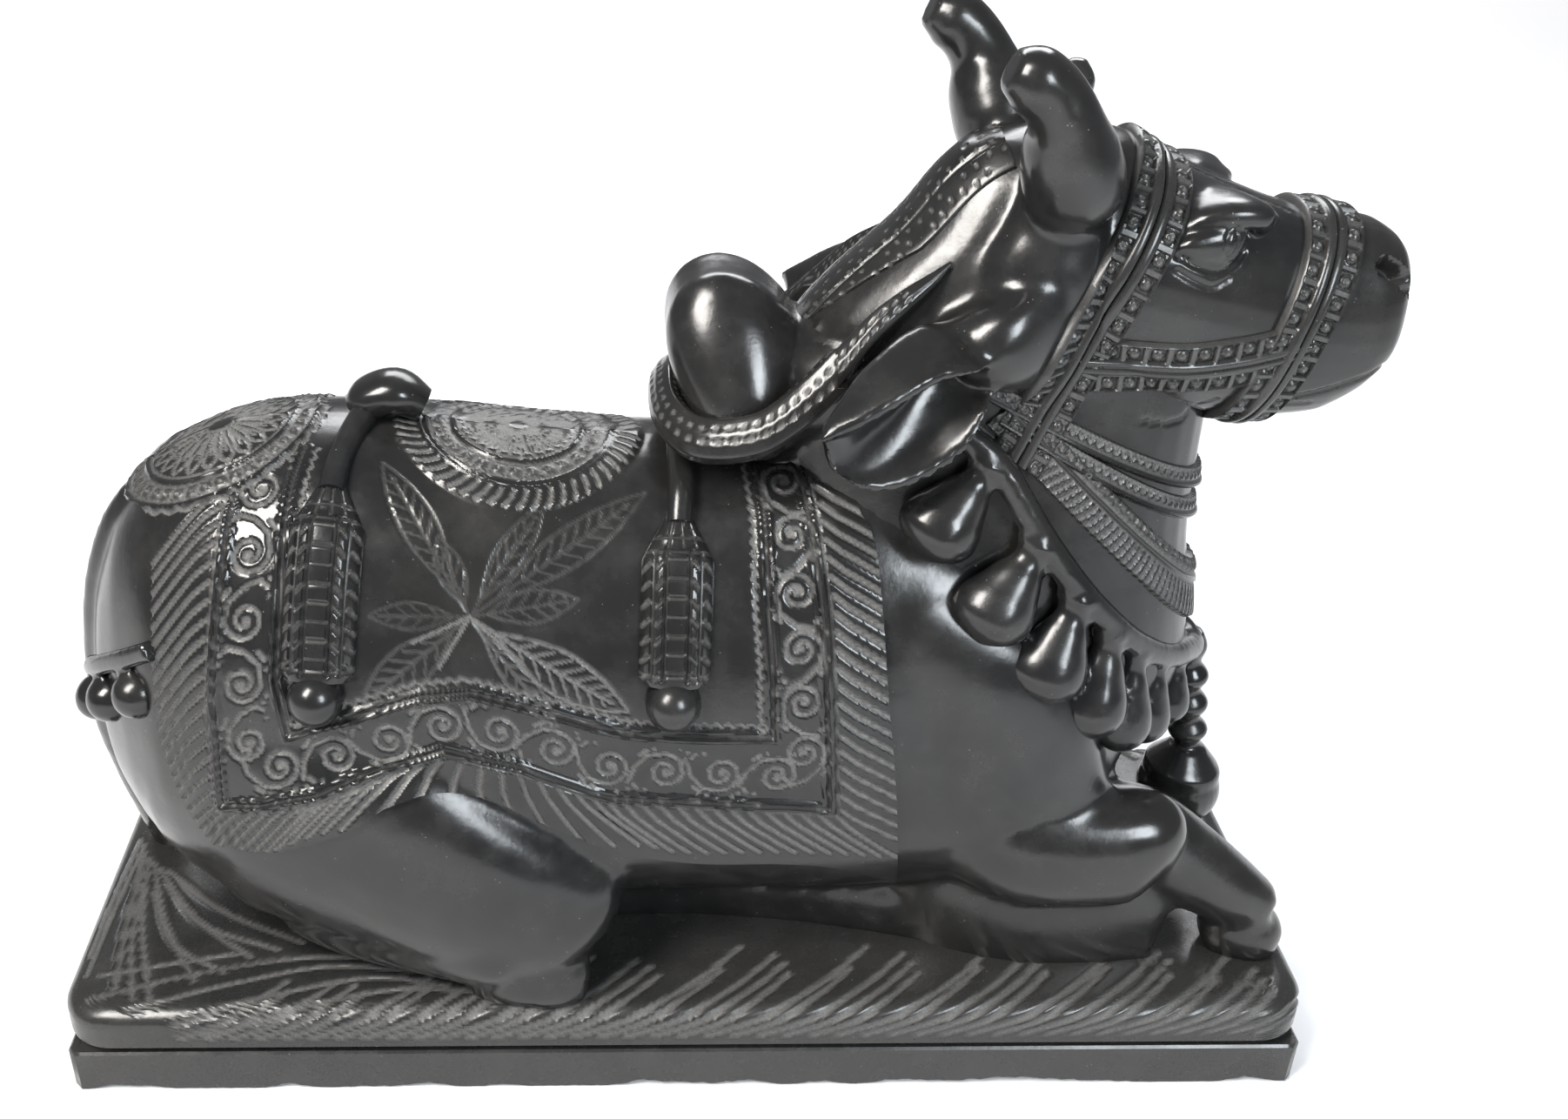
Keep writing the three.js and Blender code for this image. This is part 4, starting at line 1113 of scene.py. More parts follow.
def cloth_flat(s, t):
    """Flat points between the spine and the three edges, blended from all four sides."""
    rear, front, bottom = at_shares(REAR_EDGE, t), at_shares(FRONT_EDGE, t), at_shares(BOTTOM_EDGE, s)
    spine = REAR_EDGE[0] + (FRONT_EDGE[0] - REAR_EDGE[0]) * s[:, None]
    s, t = s[:, None], t[:, None]
    corners = (1 - s) * (1 - t) * REAR_EDGE[0] + s * (1 - t) * FRONT_EDGE[0]
    corners = corners + (1 - s) * t * REAR_EDGE[-1] + s * t * FRONT_EDGE[-1]
    return (1 - s) * rear + s * front + (1 - t) * spine + t * bottom - corners


def saddle(name, side, grain):
    def place(s, t):
        work = Carving(cloth_flat(s, t))
        cut_fringe(work)
        cut_borders(work, small=side == RIGHT)
        cut_spray(work)
        cut_rump_medallion(work)
        cut_loin_medallion(work)
        points, out = TRUNK.skin(work.at)
        points = points + (CLOTH_THICKNESS + work.lift)[:, None] * out
        flip = (1, side, 1)
        return points * flip, out * flip, work.cut

    x, y, z = SADDLE_HEART
    return skin_sheet(name, round(CLOTH_LONG / grain), round(CLOTH_DEEP / grain), place, (x, -side * y, z))


saddle_right = saddle("saddle_right", RIGHT, 1.0)
saddle_left = saddle("saddle_left", LEFT, 2.0)
print("saddle faces", len(saddle_right.data.polygons), len(saddle_left.data.polygons))

# %% [markdown]
# ## The face
#
# The face carries finer work than the rest of the head, so it is made from the same stations in a finer
# skin, and cut off under the halter's forehead band, which hides the joint. The eye is an almond under a
# heavy brow shelf. Nostrils, mouth, lids and folds are cut afterwards, along lines given in space and
# moved to the nearest point of the hide.

# %% Model the face
EYE = [
    [199, -43, 365, 1.5, 1, 1], [204, -43, 366, 4, 4.5, 5], [211, -41, 366.5, 6.5, 7.5, 8],
    [219, -38.5, 367, 8, 9, 9.5], [225, -36.5, 367, 7, 8, 9], [229, -35.5, 366, 3, 4, 5],
]
BROW = [
    [199, -34, 368, 7, 4, 4], [208, -31, 374, 13, 6.5, 5], [218, -29, 377, 16, 7, 5],
    [228, -28, 377.5, 16.5, 6.5, 6], [234, -26, 375, 15, 6, 7], [238, -25, 372, 11, 6, 7],
    [240, -24, 370, 4, 4, 4],
]
FOREHEAD = [
    [190, 0, 360, 26, 26, 10], [204, 0, 361, 33, 23, 10], [220, 0, 360, 36, 24, 10],
    [232, 0, 356, 33, 22, 10], [244, 0, 349, 27, 21, 10], [258, 0, 340, 20, 20, 10],
]
FACE_FULLER = 0.6
RUBBED_BROW = [(212, 24, 384, 17), (228, 20, 382, 17), (240, 14, 374, 17), (250, 22, 356, 15)]


def carve(piece, cuts, chart=None):
    """Carves a piece: cuts(work) gets a Carving of its points, in space or as placed on a flat chart."""
    count = len(piece.data.vertices)
    co, out = np.zeros(count * 3, np.float32), np.zeros(count * 3, np.float32)
    piece.data.vertices.foreach_get("co", co)
    piece.data.vertex_normals.foreach_get("vector", out)
    co, out = co.reshape(-1, 3).astype(float), out.reshape(-1, 3).astype(float)
    work = Carving(co / MM - (0, 0, PLINTH_TOP) if chart is None else chart)
    cuts(work)
    co += out * (work.lift * MM)[:, None]
    piece.data.vertices.foreach_set("co", co.astype(np.float32).ravel())
    rough_edges(piece, work.cut)


def both_sides(path):
    return [path, [[x, -y, z] for x, y, z in path]]


# Each cut of the face: width, depth, how rough, and a path near the hide
NOSTRIL = (10.5, 8.5, 0.0, [[297, -22, 349], [301, -21, 346], [305, -20, 342]])
NOSTRIL_TAIL = (6.0, 4.0, 0.0, [[303, -20, 343], [308, -19, 337]])
MOUTH = (4.6, 1.2, 0.0, [[314, -8, 303], [306, -24, 305], [297, -29, 301], [288, -32, 297],
                         [272, -33, 292], [252, -33, 289]])
CHIN_FOLD = (4.0, 0.8, 0.0, [[276, -31, 285], [262, -31, 286], [248, -31, 283]])
EYE_FOLD = (3.6, 0.8, 0.05, [[200, -47, 357], [208, -49, 353], [217, -49, 350], [224, -47, 353]])
LOWER_LID = (3.4, 1.2, 0.0, [[200, -47, 363], [208, -47, 359], [217, -46, 356], [225, -42, 357],
                             [230, -38, 362]])
IRIS = (2.4, 0.9, 0.05, [[221.5 + 3.2 * math.cos(t), -46, 367.5 + 7 * math.sin(t)]
                         for t in np.linspace(0, 2 * math.pi, 17)])
JAW_FOLD = (2.4, 0.8, 0.3, [[196, -43, 288], [207, -42, 285], [219, -36, 284], [231, -38, 292]])
FOREHEAD_FOLDS = [
    (2.2, 0.9, 0.6, [[214 + 9 * k, -3.5 - k, 389 - 3 * k], [226 + 9 * k, -6 - k, 383 - 3 * k],
                     [238 + 6 * k, -7 - k, 378 - 3 * k]])
    for k in range(4)]
FACE_CUTS = [
    NOSTRIL, NOSTRIL_TAIL, MOUTH, CHIN_FOLD, EYE_FOLD, LOWER_LID, IRIS, JAW_FOLD, *FOREHEAD_FOLDS]


def common_tree(pieces):
    corners, faces = [], []
    for piece in pieces:
        first = len(corners)
        corners += [v.co.copy() for v in piece.data.vertices]
        faces += [[first + k for k in p.vertices] for p in piece.data.polygons]
    return BVHTree.FromPolygons(corners, faces)


def on_hide(tree, path):
    """The places of the hide nearest to a path."""
    return [np.array(tree.find_nearest(Vector(on_plinth(p)))[0]) / MM - (0, 0, PLINTH_TOP) for p in path]


def cut_face(work):
    for width, depth, rough, path in FACE_CUTS:
        for either in both_sides(path):
            work.groove(on_hide(both_hides, smooth_path(either, 2)), width, depth, rough)


face_forms = [
    clay("face", HEAD, sides=40, steps=60, full=2.4, facing=(1, 0, 0), swell=FACE_FULLER),
    clay("forehead", FOREHEAD, sides=40, steps=30, full=3.2, facing=(1, 0, 0)),
]
for side in (RIGHT, LEFT):
    face_forms.append(clay("eye_ball", turned_over(EYE, side), sides=24, steps=24))
    face_forms.append(clay("brow", turned_over(BROW, side), sides=24, steps=30, full=3))
face = fused(face_forms, "face", grain=1.1, soften=5)
rub(face, [(x, side * y, z, radius) for side in (RIGHT, LEFT) for x, y, z, radius in RUBBED_BROW], rounds=40)
keep_one_side(face, HALTER_FOOT - HALTER_AHEAD * HALTER_OVERLAP[1], HALTER_AHEAD)
face_hide, both_hides = tree_of(face), common_tree([head, face])
hide = common_tree([body, head, face])
for piece in (head, face):
    carve(piece, cut_face)
print("face points", len(face.data.vertices))

# %% [markdown]
# ## Straps over the hide
#
# Halter, necklaces and crest band are flat straps that lie on the hide. Each follows the cut of a plane
# with the body. Rays from outside, aimed at the form's middle and turned step by step in that plane, find
# the hide, and the strap is carved on the skin that they measure. The measure along a strap is 0 at its
# middle.

# %% Measure a strap's bed
STRAP_STEP, ACROSS_STEP = 2.5, 2.0
STRAP_EDGE = 1.6  # mm over which a strap's edge is rounded


def strap_wrap(tree, centres, directions, across, half):
    """The hide under a strap: one ray for each centre and direction, moved across step by step."""
    offsets = np.arange(-half - 4, half + 4.1, ACROSS_STEP)
    table = np.zeros((len(centres), len(offsets), 3))
    for j, offset in enumerate(offsets):
        for i, (centre, direction) in enumerate(zip(centres, directions)):
            place = inward_hit(tree, centre + offset * across, direction)
            table[i, j] = np.nan if place is None else place
        holes = np.isnan(table[:, j, 0])
        gaps, hits = np.flatnonzero(holes), np.flatnonzero(~holes)
        for k in range(3):
            table[gaps, j, k] = np.interp(gaps, hits, table[hits, j, k])
    table = np.stack([soften(table[..., k], 2) for k in range(3)], axis=-1)
    middle = table[:, len(offsets) // 2]
    run = run_along(middle)
    even = np.arange(0, run[-1], STRAP_STEP)
    spaced = np.zeros((len(even), len(offsets), 3))
    for j in range(len(offsets)):
        for k in range(3):
            spaced[:, j, k] = np.interp(even, run, table[:, j, k])
    return Wrap(spaced, (-run[-1] / 2, offsets[0]), (STRAP_STEP, ACROSS_STEP)), run[-1] / 2


def ring_strap(tree, low, high, centre_share, half, reach, upward=False):
    """A strap in the plane through a line of the side view, out to reach degrees on each side."""
    low, high = np.asarray(low, float), np.asarray(high, float)
    along = (high - low) / np.linalg.norm(high - low)
    across = np.cross(along, (0, 1, 0)) if upward else np.cross((0, 1, 0), along)
    centre = low + (high - low) * centre_share
    turns = np.radians(np.arange(-reach, reach + 0.1, 2))
    directions = [along * math.cos(t) + np.array([0, -math.sin(t), 0]) for t in turns]
    return strap_wrap(tree, [centre] * len(turns), directions, across, half)


def strap(name, wrap, length, half, grain, draw, thickness=3.6, inner=None, taper=((0, 1), (1, 1))):
    """A strap that draw(work, length, half) cuts; taper is its share of width at shares of its length."""
    def place(s, t):
        narrowed = half * np.interp(s, *zip(*taper))
        work = Carving(np.stack([(2 * s - 1) * length, (2 * t - 1) * narrowed], axis=-1))
        draw(work, length, half)
        points, out = wrap.skin(work.at)
        edge = np.clip((narrowed - np.abs(work.at[:, 1])) / STRAP_EDGE, 0, 1)
        height = thickness * np.sqrt(1 - (1 - edge) ** 2) + work.lift * edge
        return points + height[:, None] * out, out, work.cut

    middle = wrap.table.reshape(-1, 3).mean(axis=0) if inner is None else inner
    return skin_sheet(name, round(2 * length / grain), round(2 * half / grain), place, middle, sink_rim=3.0)


print("strap helpers ready")

# %% [markdown]
# ## Halter
#
# The halter is a band over the forehead, a band round the muzzle and a cheek strap between them. Each is
# two rows of beads in little boxes, with a smooth double ridge between the rows.

# %% Carve the halter
BOX_DEPTH, BOX_PITCH, HALF_BOX, HALF_BAR = 1.6, 10.0, 3.2, 1.2


def box_row(work, length, across):
    """Beads in sunk dark boxes, with rough bars left standing between the boxes."""
    cell = (work.at[:, 0] + length) % BOX_PITCH - BOX_PITCH / 2
    off = work.at[:, 1] - across
    row = np.abs(off) < HALF_BOX
    bar = np.abs(cell) > BOX_PITCH / 2 - HALF_BAR
    inside = row & ~bar
    work.sink[inside], work.cut[inside] = BOX_DEPTH, 0.12
    work.cut[row & bar] = 0.42
    far = np.hypot(cell, off) / (HALF_BOX - 0.4)
    bead = inside & (far < 1)
    dome, dimple = 1.9 * np.sqrt(1 - far[bead] ** 2), 1.6 * np.clip(1 - far[bead] / 0.45, 0, 1)
    work.sink[bead] = BOX_DEPTH - dome + dimple
    work.cut[bead] = np.interp(far[bead], [0, 0.4, 0.45, 0.75, 1], [0.7, 0.6, 0.1, 0.1, 0.5])


def halter_band(work, length, half):
    work.cut[:] = 0.1
    work.cut[np.abs(work.at[:, 1]) > half - 1.2] = 0.3
    middle = half - 8.6  # half the width between the two rows
    for side in (1, -1):
        box_row(work, length, side * (half - 4.8))
        work.rib([(-length, side * middle / 2), (length, side * middle / 2)], middle, 1.3)
    work.groove([(-length, 0), (length, 0)], 1.2, 0.9, rough=0.2)


BAND_HALF, CHEEK_HALF = 13, 12
CHEEK_HEIGHT, CHEEK_SAG = 318, 5
CHEEK_BACK, CHEEK_LONG = 150, 120  # the sag starts here, and ends this much further forward
brow_wrap, brow_half = ring_strap(hide, HALTER_FOOT, HALTER_TOP, 0.5, BAND_HALF, 150)
brow_band = strap("halter_brow", brow_wrap, brow_half - 3, BAND_HALF, 0.68, halter_band)
nose_wrap, nose_half = ring_strap(face_hide, (248.5, 0, 286), (278.5, 0, 376), 0.5, BAND_HALF, 172)
nose_band = strap("halter_nose", nose_wrap, nose_half - 3, BAND_HALF, 0.65, halter_band)
for side, name, grain in ((RIGHT, "cheek_right", 0.62), (LEFT, "cheek_left", 0.9)):
    centres = [np.array([x, 0, CHEEK_HEIGHT - CHEEK_SAG * math.sin((x - CHEEK_BACK) / CHEEK_LONG * math.pi)])
               for x in np.arange(158, 272, STRAP_STEP)]
    sideways = [np.array([0, -side, 0.0])] * len(centres)
    wrap, half = strap_wrap(hide, centres, sideways, np.array([0, 0, 1.0]), CHEEK_HALF)
    strap(name, wrap, half - 3, CHEEK_HALF, grain, halter_band, thickness=3.0, inner=(215, -side * 8, 311))
print("halter faces", len(brow_band.data.polygons) + len(nose_band.data.polygons))

# %% [markdown]
# ## Necklaces
#
# Three necklaces lie round the neck. The upper two are single rows of small scales over a thin ridge. The
# lowest is wider: beads, a polished ridge, and a fringe of slanting leaves.

# %% Carve the necklaces
def scale_row(work, length, half):
    for at in np.arange(-length + 2, length, 4.6):
        work.groove([(at, half - 1), (at + 2.3, half - 4.6), (at + 4.6, half - 1)], 1.5, 1.1)
        work.dot((at + 2.3, half - 1.6), 1.1, 0.7)
    work.rib([(-length, -half + 2), (length, -half + 2)], 2.4, 1.0)
    work.groove([(-length, -half + 3.9), (length, -half + 3.9)], 1.3, 0.8)


BEAD_PITCH = 6.4


def leaf_fringe(work, length, half):
    for at in np.arange(-length + BEAD_PITCH, length - BEAD_PITCH / 2, BEAD_PITCH):
        work.bead((at, half - 3.4), 2.2, 1.6, dimple=0.5)
    work.rib([(-length, half - 7.6), (length, half - 7.6)], 2.4, 1.0)
    for by in (half - 5.9, half - 9.3):
        work.groove([(-length, by), (length, by)], 1.3, 0.8)
    for at in np.arange(-length, length, 4.4):
        side = 1 if at > 0 else -1
        work.groove([(at, half - 10.4), (at + side * 3, -half)], 2.1, 1.4)


body_hide = tree_of(body)
necklaces = []
for name, low, high, share, half, reach, draw in (
        ("necklace_upper", (124, 0, 306), (262, 0, 233), 0.26, 5, 136, scale_row),
        ("necklace_middle", (136, 0, 292), (266, 0, 213), 0.2, 5, 128, scale_row),
        ("necklace_lower", (118, 0, 312), (270, 0, 158), 0.3, 10, 134, leaf_fringe)):
    wrap, length = ring_strap(body_hide, low, high, share, half, reach, upward=True)
    necklaces.append(strap(name, wrap, length - 3, half, 0.9, draw))
print("necklaces", [len(n.data.polygons) for n in necklaces])

# %% [markdown]
# ## Collar and crest band
#
# A broad band runs down the crest of the neck, and a rolled collar circles the foot of the hump and
# climbs the neck behind the ears. Both are polished, with a drilled dot at every step.

# %% Roll the collar and lay the crest band
COLLAR = [  # x, y, z, size
    [108, -35, 356, 1.5], [101, -38, 351, 3.5], [89, -42, 343, 6], [76, -46, 333, 7.5], [62, -49, 317, 9.5],
    [47, -52, 302, 10], [28, -52, 287, 10], [4, -43, 281, 10], [-7, -25, 283, 10],
]
COLLAR_LINE = COLLAR + [[-9, 0, 287, 10]] + turned_over(COLLAR, LEFT)[::-1]
COLLAR_SECTION = ((-0.5, -1.0), (-0.9, -0.3), (-0.78, 0.3), (-0.35, 0.72), (-0.02, 0.88), (0.16, 0.74),
                  (0.55, 0.4), (0.85, -0.1), (0.95, -0.6), (0.6, -1.1))
COLLAR_STEPS, COLLAR_SIDES, COLLAR_SIZE = 300, 56, 10
COLLAR_RING_X, COLLAR_CLIMB_X = 26, 60  # the middle of its ring, and where it starts up the neck
COLLAR_END = 20  # mm without dots at each end
COLLAR_DOTS = ((17.6, 0.95, 0.6, 4.6), (21, 0.95, 0.6, 4.6), (29.5, 1.5, 0.9, 6.0), (35.2, 1.7, 0.9, 6.4))
CREST_HALF = 25


def collar_rings():
    """Sections with a narrow face towards the hump, a crisp ridge and a broad outer face."""
    corners = np.array(COLLAR_SECTION, float)
    loop = np.vstack([corners, corners[:1]])
    run = run_along(loop)
    round_it = np.linspace(0, run[-1], COLLAR_SIDES, endpoint=False)
    outline = np.stack([np.interp(round_it, run, loop[:, k]) for k in (0, 1)], axis=-1)
    stations = np.array(COLLAR_LINE, float)
    rings = []
    for share in np.linspace(0, 1, COLLAR_STEPS + 1):
        at, size = flowing(stations[:, :3], share), flowing(stations[:, 3:4], share)[0]
        outward = at - (COLLAR_RING_X, 0, at[2])
        outward = outward / np.linalg.norm(outward)
        if at[0] > COLLAR_CLIMB_X:
            outward = np.array([0.0, math.copysign(1, at[1]), 0])
        rings.append(at + size * (outline[:, :1] * outward + outline[:, 1:] * np.array([0, 0, 1.0])))
    return np.array(rings), round_it


def crest_dots(work, length, half):
    for side in (1, -1):
        for row, across in enumerate((4, 9.5, 16, 21)):
            for count, at in enumerate(np.arange(-length + 3 + row % 2 * 3, length - 2, 6.8)):
                if (3 * count + 5 * row) % 7:
                    work.dot((at, side * (across + 0.9 * math.sin(1.7 * count + row))), 1.2, 0.8, 0.6)
        work.groove([(-length, side * 12.2), (0, side * 12.8), (length, side * 12)], 3.2, 1.2, rough=0.0)


rings, round_collar = collar_rings()
collar = lofted("collar", rings)
along_collar = run_along(rings.mean(axis=1))


def cut_collar(work):
    """Rows of dots, on a chart of mm along the collar and mm round it."""
    for across, radius, depth, pitch in COLLAR_DOTS:
        for at in np.arange(COLLAR_END + across % pitch, along_collar[-1] - COLLAR_END, pitch):
            work.dot((at, across), radius, depth, 0.85)


places = KDTree(rings.shape[0] * rings.shape[1])
for index, place in enumerate(on_plinth(rings.reshape(-1, 3))):
    places.insert(Vector(place), index)
places.balance()
found = [places.find(v.co)[1] for v in collar.data.vertices]
chart = np.array([
    (along_collar[k // COLLAR_SIDES], round_collar[k % COLLAR_SIDES] * COLLAR_SIZE) for k in found])
carve(collar, cut_collar, chart)
neck = clay("neck", NECK, **NECK_MAKE)
neck_hide = tree_of(neck)
bpy.data.objects.remove(neck)
crest_turns = np.radians(np.arange(-6, 76, 2))
crest_centre = np.array([160.0, 0, 325])
crest_wrap, crest_half = strap_wrap(
    neck_hide, [crest_centre] * len(crest_turns),
    [np.array([-math.cos(t), 0, math.sin(t)]) for t in crest_turns], np.array([0, 1.0, 0]), CREST_HALF)
crest_band = strap("crest_band", crest_wrap, crest_half - 2, CREST_HALF, 0.9, crest_dots, thickness=1.9,
                   taper=((0, 0.45), (0.2, 0.72), (0.5, 1), (1, 0.95)))
print("collar faces", len(collar.data.polygons), "crest", len(crest_band.data.polygons))

# %% [markdown]
# ## Tassels
#
# A cord crosses the spine, and a tassel hangs from it over each flank: a folded cap, a long fluted body
# with a middle column of square beads and ladders of small holes, and a ball at the foot.

# %% Carve the tassels
TASSELS = [  # name, cord from the spine, top of the body, foot
    ("rear", [(-147, 4, 277), (-153, 20, 270), (-157, 38, 264)], (-158, 44, 262), (-166, 98, 180)),
    ("front", [(-4, 4, 262), (-4, 26, 259), (-4, 42, 254)], (-5, 48, 250), (-8, 93, 172)),
]
TASSEL_HALF, TASSEL_BALL = 16.5, 12.5


def cut_tassel(work, length):
    for across in (-5.4, 5.4):
        work.groove([(18, across), (length - 4, across)], 2.6, 3.0, rough=0.3)
    for across in (-10.8, 10.8):
        work.groove([(20, across), (length - 4, across)], 2.4, 2.4, rough=0.3)
    for at in np.arange(22, length - 4, 7.8):
        work.groove([(at, -3.9), (at, 3.9)], 2.0, 1.8, rough=0.5)
        for side in (-1, 1):
            work.groove([(at + 1, side * 6.6), (at + 4, side * 9.4)], 2.0, 1.6, rough=0.5)
            work.groove([(at + 2, side * 12), (at + 5, side * 15.5)], 2.2, 1.8, rough=0.6)
    for across in (-6, -1.5, 3.5):
        work.groove([(2, across * 0.5), (10, across), (17, across * 1.3)], 1.6, 1.0, rough=0.3)
    for at in (13, 19, length - 5):
        work.groove([(at, -TASSEL_HALF), (at, TASSEL_HALF)], 1.8, 1.4, rough=0.3)


def tassel(name, side, cord, top, foot, grain):
    high, low = flat(*top), flat(*foot)
    down = (low - high) / np.linalg.norm(low - high)
    across = np.array([-down[1], down[0]])
    length = np.linalg.norm(low - high) - TASSEL_HALF * 0.7

    def place(s, t):
        at = np.stack([s * length, (2 * t - 1)], axis=-1)
        half = np.interp(at[:, 0], [0, 8, 16, 22, length - 3, length],
                         [5, 9, 13.5, TASSEL_HALF, TASSEL_HALF, 14.5])
        work = Carving(np.stack([at[:, 0], at[:, 1] * half], axis=-1), cell=5)
        cut_tassel(work, length)
        points, out = TRUNK.skin(high + work.at[:, :1] * down + work.at[:, 1:] * across)
        crown = np.interp(at[:, 0], [0, 6, 16, 22, length], [6.5, 8, 9, 11, 10.5])
        round_off = np.sqrt(np.clip(1 - np.abs(at[:, 1]) ** 2.6, 0, 1))
        height = CLOTH_THICKNESS - 1.5 + crown * round_off + work.lift * np.clip(round_off * 1.5, 0, 1)
        flip = (1, side, 1)
        return (points + height[:, None] * out) * flip, out * flip, work.cut

    middle = TRUNK.skin([(high + low) / 2])
    inner = (middle[0] - 12 * middle[1])[0] * (1, side, 1)
    pieces = [skin_sheet(name, round(length / grain), round(2 * TASSEL_HALF / grain), place, inner)]
    line = [(x, -y, z) for x, y, z in cord] + [tuple((TRUNK.skin([high + down * 4])[0][0] + (0, -6, 3)))]
    line = [(x, y * side, z) for x, y, z in line]
    pieces.append(clay(name + "_cord", [[*p, 6, 6, 6] for p in line], sides=16, steps=24, up=(1, 0, 0)))
    spot, out = TRUNK.skin([high + down * (length + TASSEL_HALF * 0.55)])
    centre = (spot + 6.5 * out)[0] * (1, side, 1)
    bpy.ops.object.select_all(action="DESELECT")
    bpy.ops.mesh.primitive_uv_sphere_add(
        segments=32, ring_count=20, radius=TASSEL_BALL * MM, location=on_plinth(centre))
    knob = bpy.context.object
    bpy.ops.object.transform_apply(location=True, rotation=True, scale=True)
    pieces.append(knob)
    return merged(pieces, name)


tassels = []
for name, cord, top, foot in TASSELS:
    for side, hand, grain in ((RIGHT, "right", 0.75), (LEFT, "left", 1.1)):
        tassels.append(tassel(f"tassel_{name}_{hand}", side, cord, top, foot, grain))
SPINE_KNOB = [
    [-152, 0, 274, 9, 8, 8], [-146, 0, 280, 13, 10, 10], [-134, 0, 283, 14, 10, 10], [-122, 0, 276, 9, 8, 8]]
clay("spine_knob", SPINE_KNOB, sides=24, steps=20)
print("tassels", [len(t.data.polygons) for t in tassels])

# %% [markdown]
# ## The rope of bells
#
# A rope runs from behind the ear down to the chest on both sides, and bells hang from it, each a pear
# with a short collar.

# %% Hang the bells
ROPE_RADIUS = 6.5
BELLS = [  # neck, foot, girth
    ((131, -58, 275), (102, -68, 232), 18.5), ((155, -66, 240), (129, -78, 194), 18.5),
    ((175, -68, 214), (159, -80, 163), 18), ((193, -64, 194), (186, -74, 138), 16.5),
    ((209, -55, 178), (206, -61, 121), 15), ((225, -43, 165), (222, -46, 115), 13),
    ((241, -26, 155), (239, -28, 114), 11.5),
]
BELL_PROFILE = ((0, 0.42), (0.06, 0.55), (0.11, 0.42), (0.2, 0.4), (0.32, 0.58), (0.46, 0.74),
                (0.6, 0.93), (0.74, 1.0), (0.87, 0.82), (0.95, 0.45), (1, 0.1))  # down, wide
BELL_FRONT, BELL_BACK, BELL_THICK = 0.92, 1.2, 0.85  # shares of the girth


def bell(neck, foot, girth, side):
    neck, foot = np.array(neck, float), np.array(foot, float)
    stations = []
    for share, wide in BELL_PROFILE:
        at = neck + (foot - neck) * share
        stations.append([at[0], at[1] * side, at[2], girth * wide * BELL_THICK, girth * wide * BELL_FRONT,
                         girth * wide * BELL_BACK])
    return clay("bell", stations, sides=24, steps=26, up=(1, 0, 0), full=1.75)


rope_line = [(116, -52, 286)] + [neck for neck, _, _ in BELLS] + [(255, 0, 146)]
rope_line += [(x, -y, z) for x, y, z in rope_line[-2::-1]]
rope_forms = [clay("rope", [[*p, *[ROPE_RADIUS] * 3] for p in rope_line], sides=14, steps=150)]
for side in (RIGHT, LEFT):
    rope_forms += [bell(*sizes, side) for sizes in BELLS]
bell_rope = fused(rope_forms, "bell_rope", grain=2.0, soften=3)
print("rope and bells", len(bell_rope.data.polygons))

# %% [markdown]
# ## The pendant
#
# In front of the chest hangs a ribbed stem with a lotus cap and a ball, all turned round one upright line.

# %% Hang the pendant
PENDANT_BALL = (264, 0, 54)
PENDANT_RADIUS = 21
CAP = ((0, 19.5), (0.3, 19), (0.6, 15), (1, 9))
STEM = ((0, 9), (0.08, 8), (0.14, 6.2), (0.24, 10), (0.34, 6.2), (0.45, 10), (0.56, 6.2), (0.67, 10),
        (0.78, 6.2), (0.9, 9), (1, 7))


def upright(name, low, high, profile, **make):
    """A turned form from low to high; the profile is its radius at shares of the height."""
    low, high = np.array(low, float), np.array(high, float)
    stations = [[*(low + (high - low) * share), r, r, r] for share, r in profile]
    return clay(name, stations, up=(1, 0, 0), **make)


def ball(centre, radius, stations, least, **make):
    """A ball; least is the share of the radius at its poles."""
    x, y, z = centre
    profile = [(0.5 - 0.5 * math.cos(t), radius * max(math.sin(t), least))
               for t in np.linspace(0, math.pi, stations)]
    return upright("ball", (x, y, z - radius), (x, y, z + radius), profile, **make)


x, y, z = PENDANT_BALL
pendant_forms = [
    ball(PENDANT_BALL, PENDANT_RADIUS, 15, 0.03, sides=28, steps=28),
    upright("cap", (x, y, z + 9), (x + 1, y, z + PENDANT_RADIUS + 5), CAP, sides=28, steps=12),
    upright("stem", (266, 0, 72), (254, 0, 150), STEM, sides=22, steps=90),
]
pendant = fused(pendant_forms, "pendant", grain=1.2, soften=2)
print("pendant faces", len(pendant.data.polygons))

# %% [markdown]
# ## The strap under the tail
#
# A crupper strap crosses the rump below the tail's root, with three round bells on each side.

# %% Lay the crupper strap
CRUPPER = [
    [-243, -72, 188, 4, 5, 5], [-263, -58, 174, 4, 5, 5], [-282, -38, 158, 4, 5, 5], [-294, -9, 140, 4, 5, 5]]
CRUPPER_BELLS = [(-293, -12, 122), (-276, -42, 142), (-256, -62, 158)]
CRUPPER_BELL_RADIUS = 12
crupper_forms = [clay("crupper", CRUPPER + turned_over(CRUPPER, LEFT)[::-1], sides=18, steps=90)]
for side in (RIGHT, LEFT):
    for x, y, z in CRUPPER_BELLS:
        crupper_forms.append(ball((x, y * side, z), CRUPPER_BELL_RADIUS, 11, 0.04, sides=20, steps=20))
crupper = fused(crupper_forms, "crupper", grain=1.6, soften=2)
print("crupper faces", len(crupper.data.polygons))

# %% [markdown]
# ## The plinth's foot
#
# The plinth has two slabs with a sunk groove between them. The lower slab is drawn ring by ring from the
# floor up, and its lowest edge is broken off in chips, long shallow ones with small ones on them. The
# groove is a narrower block set between the slabs, with its upright corners bevelled.

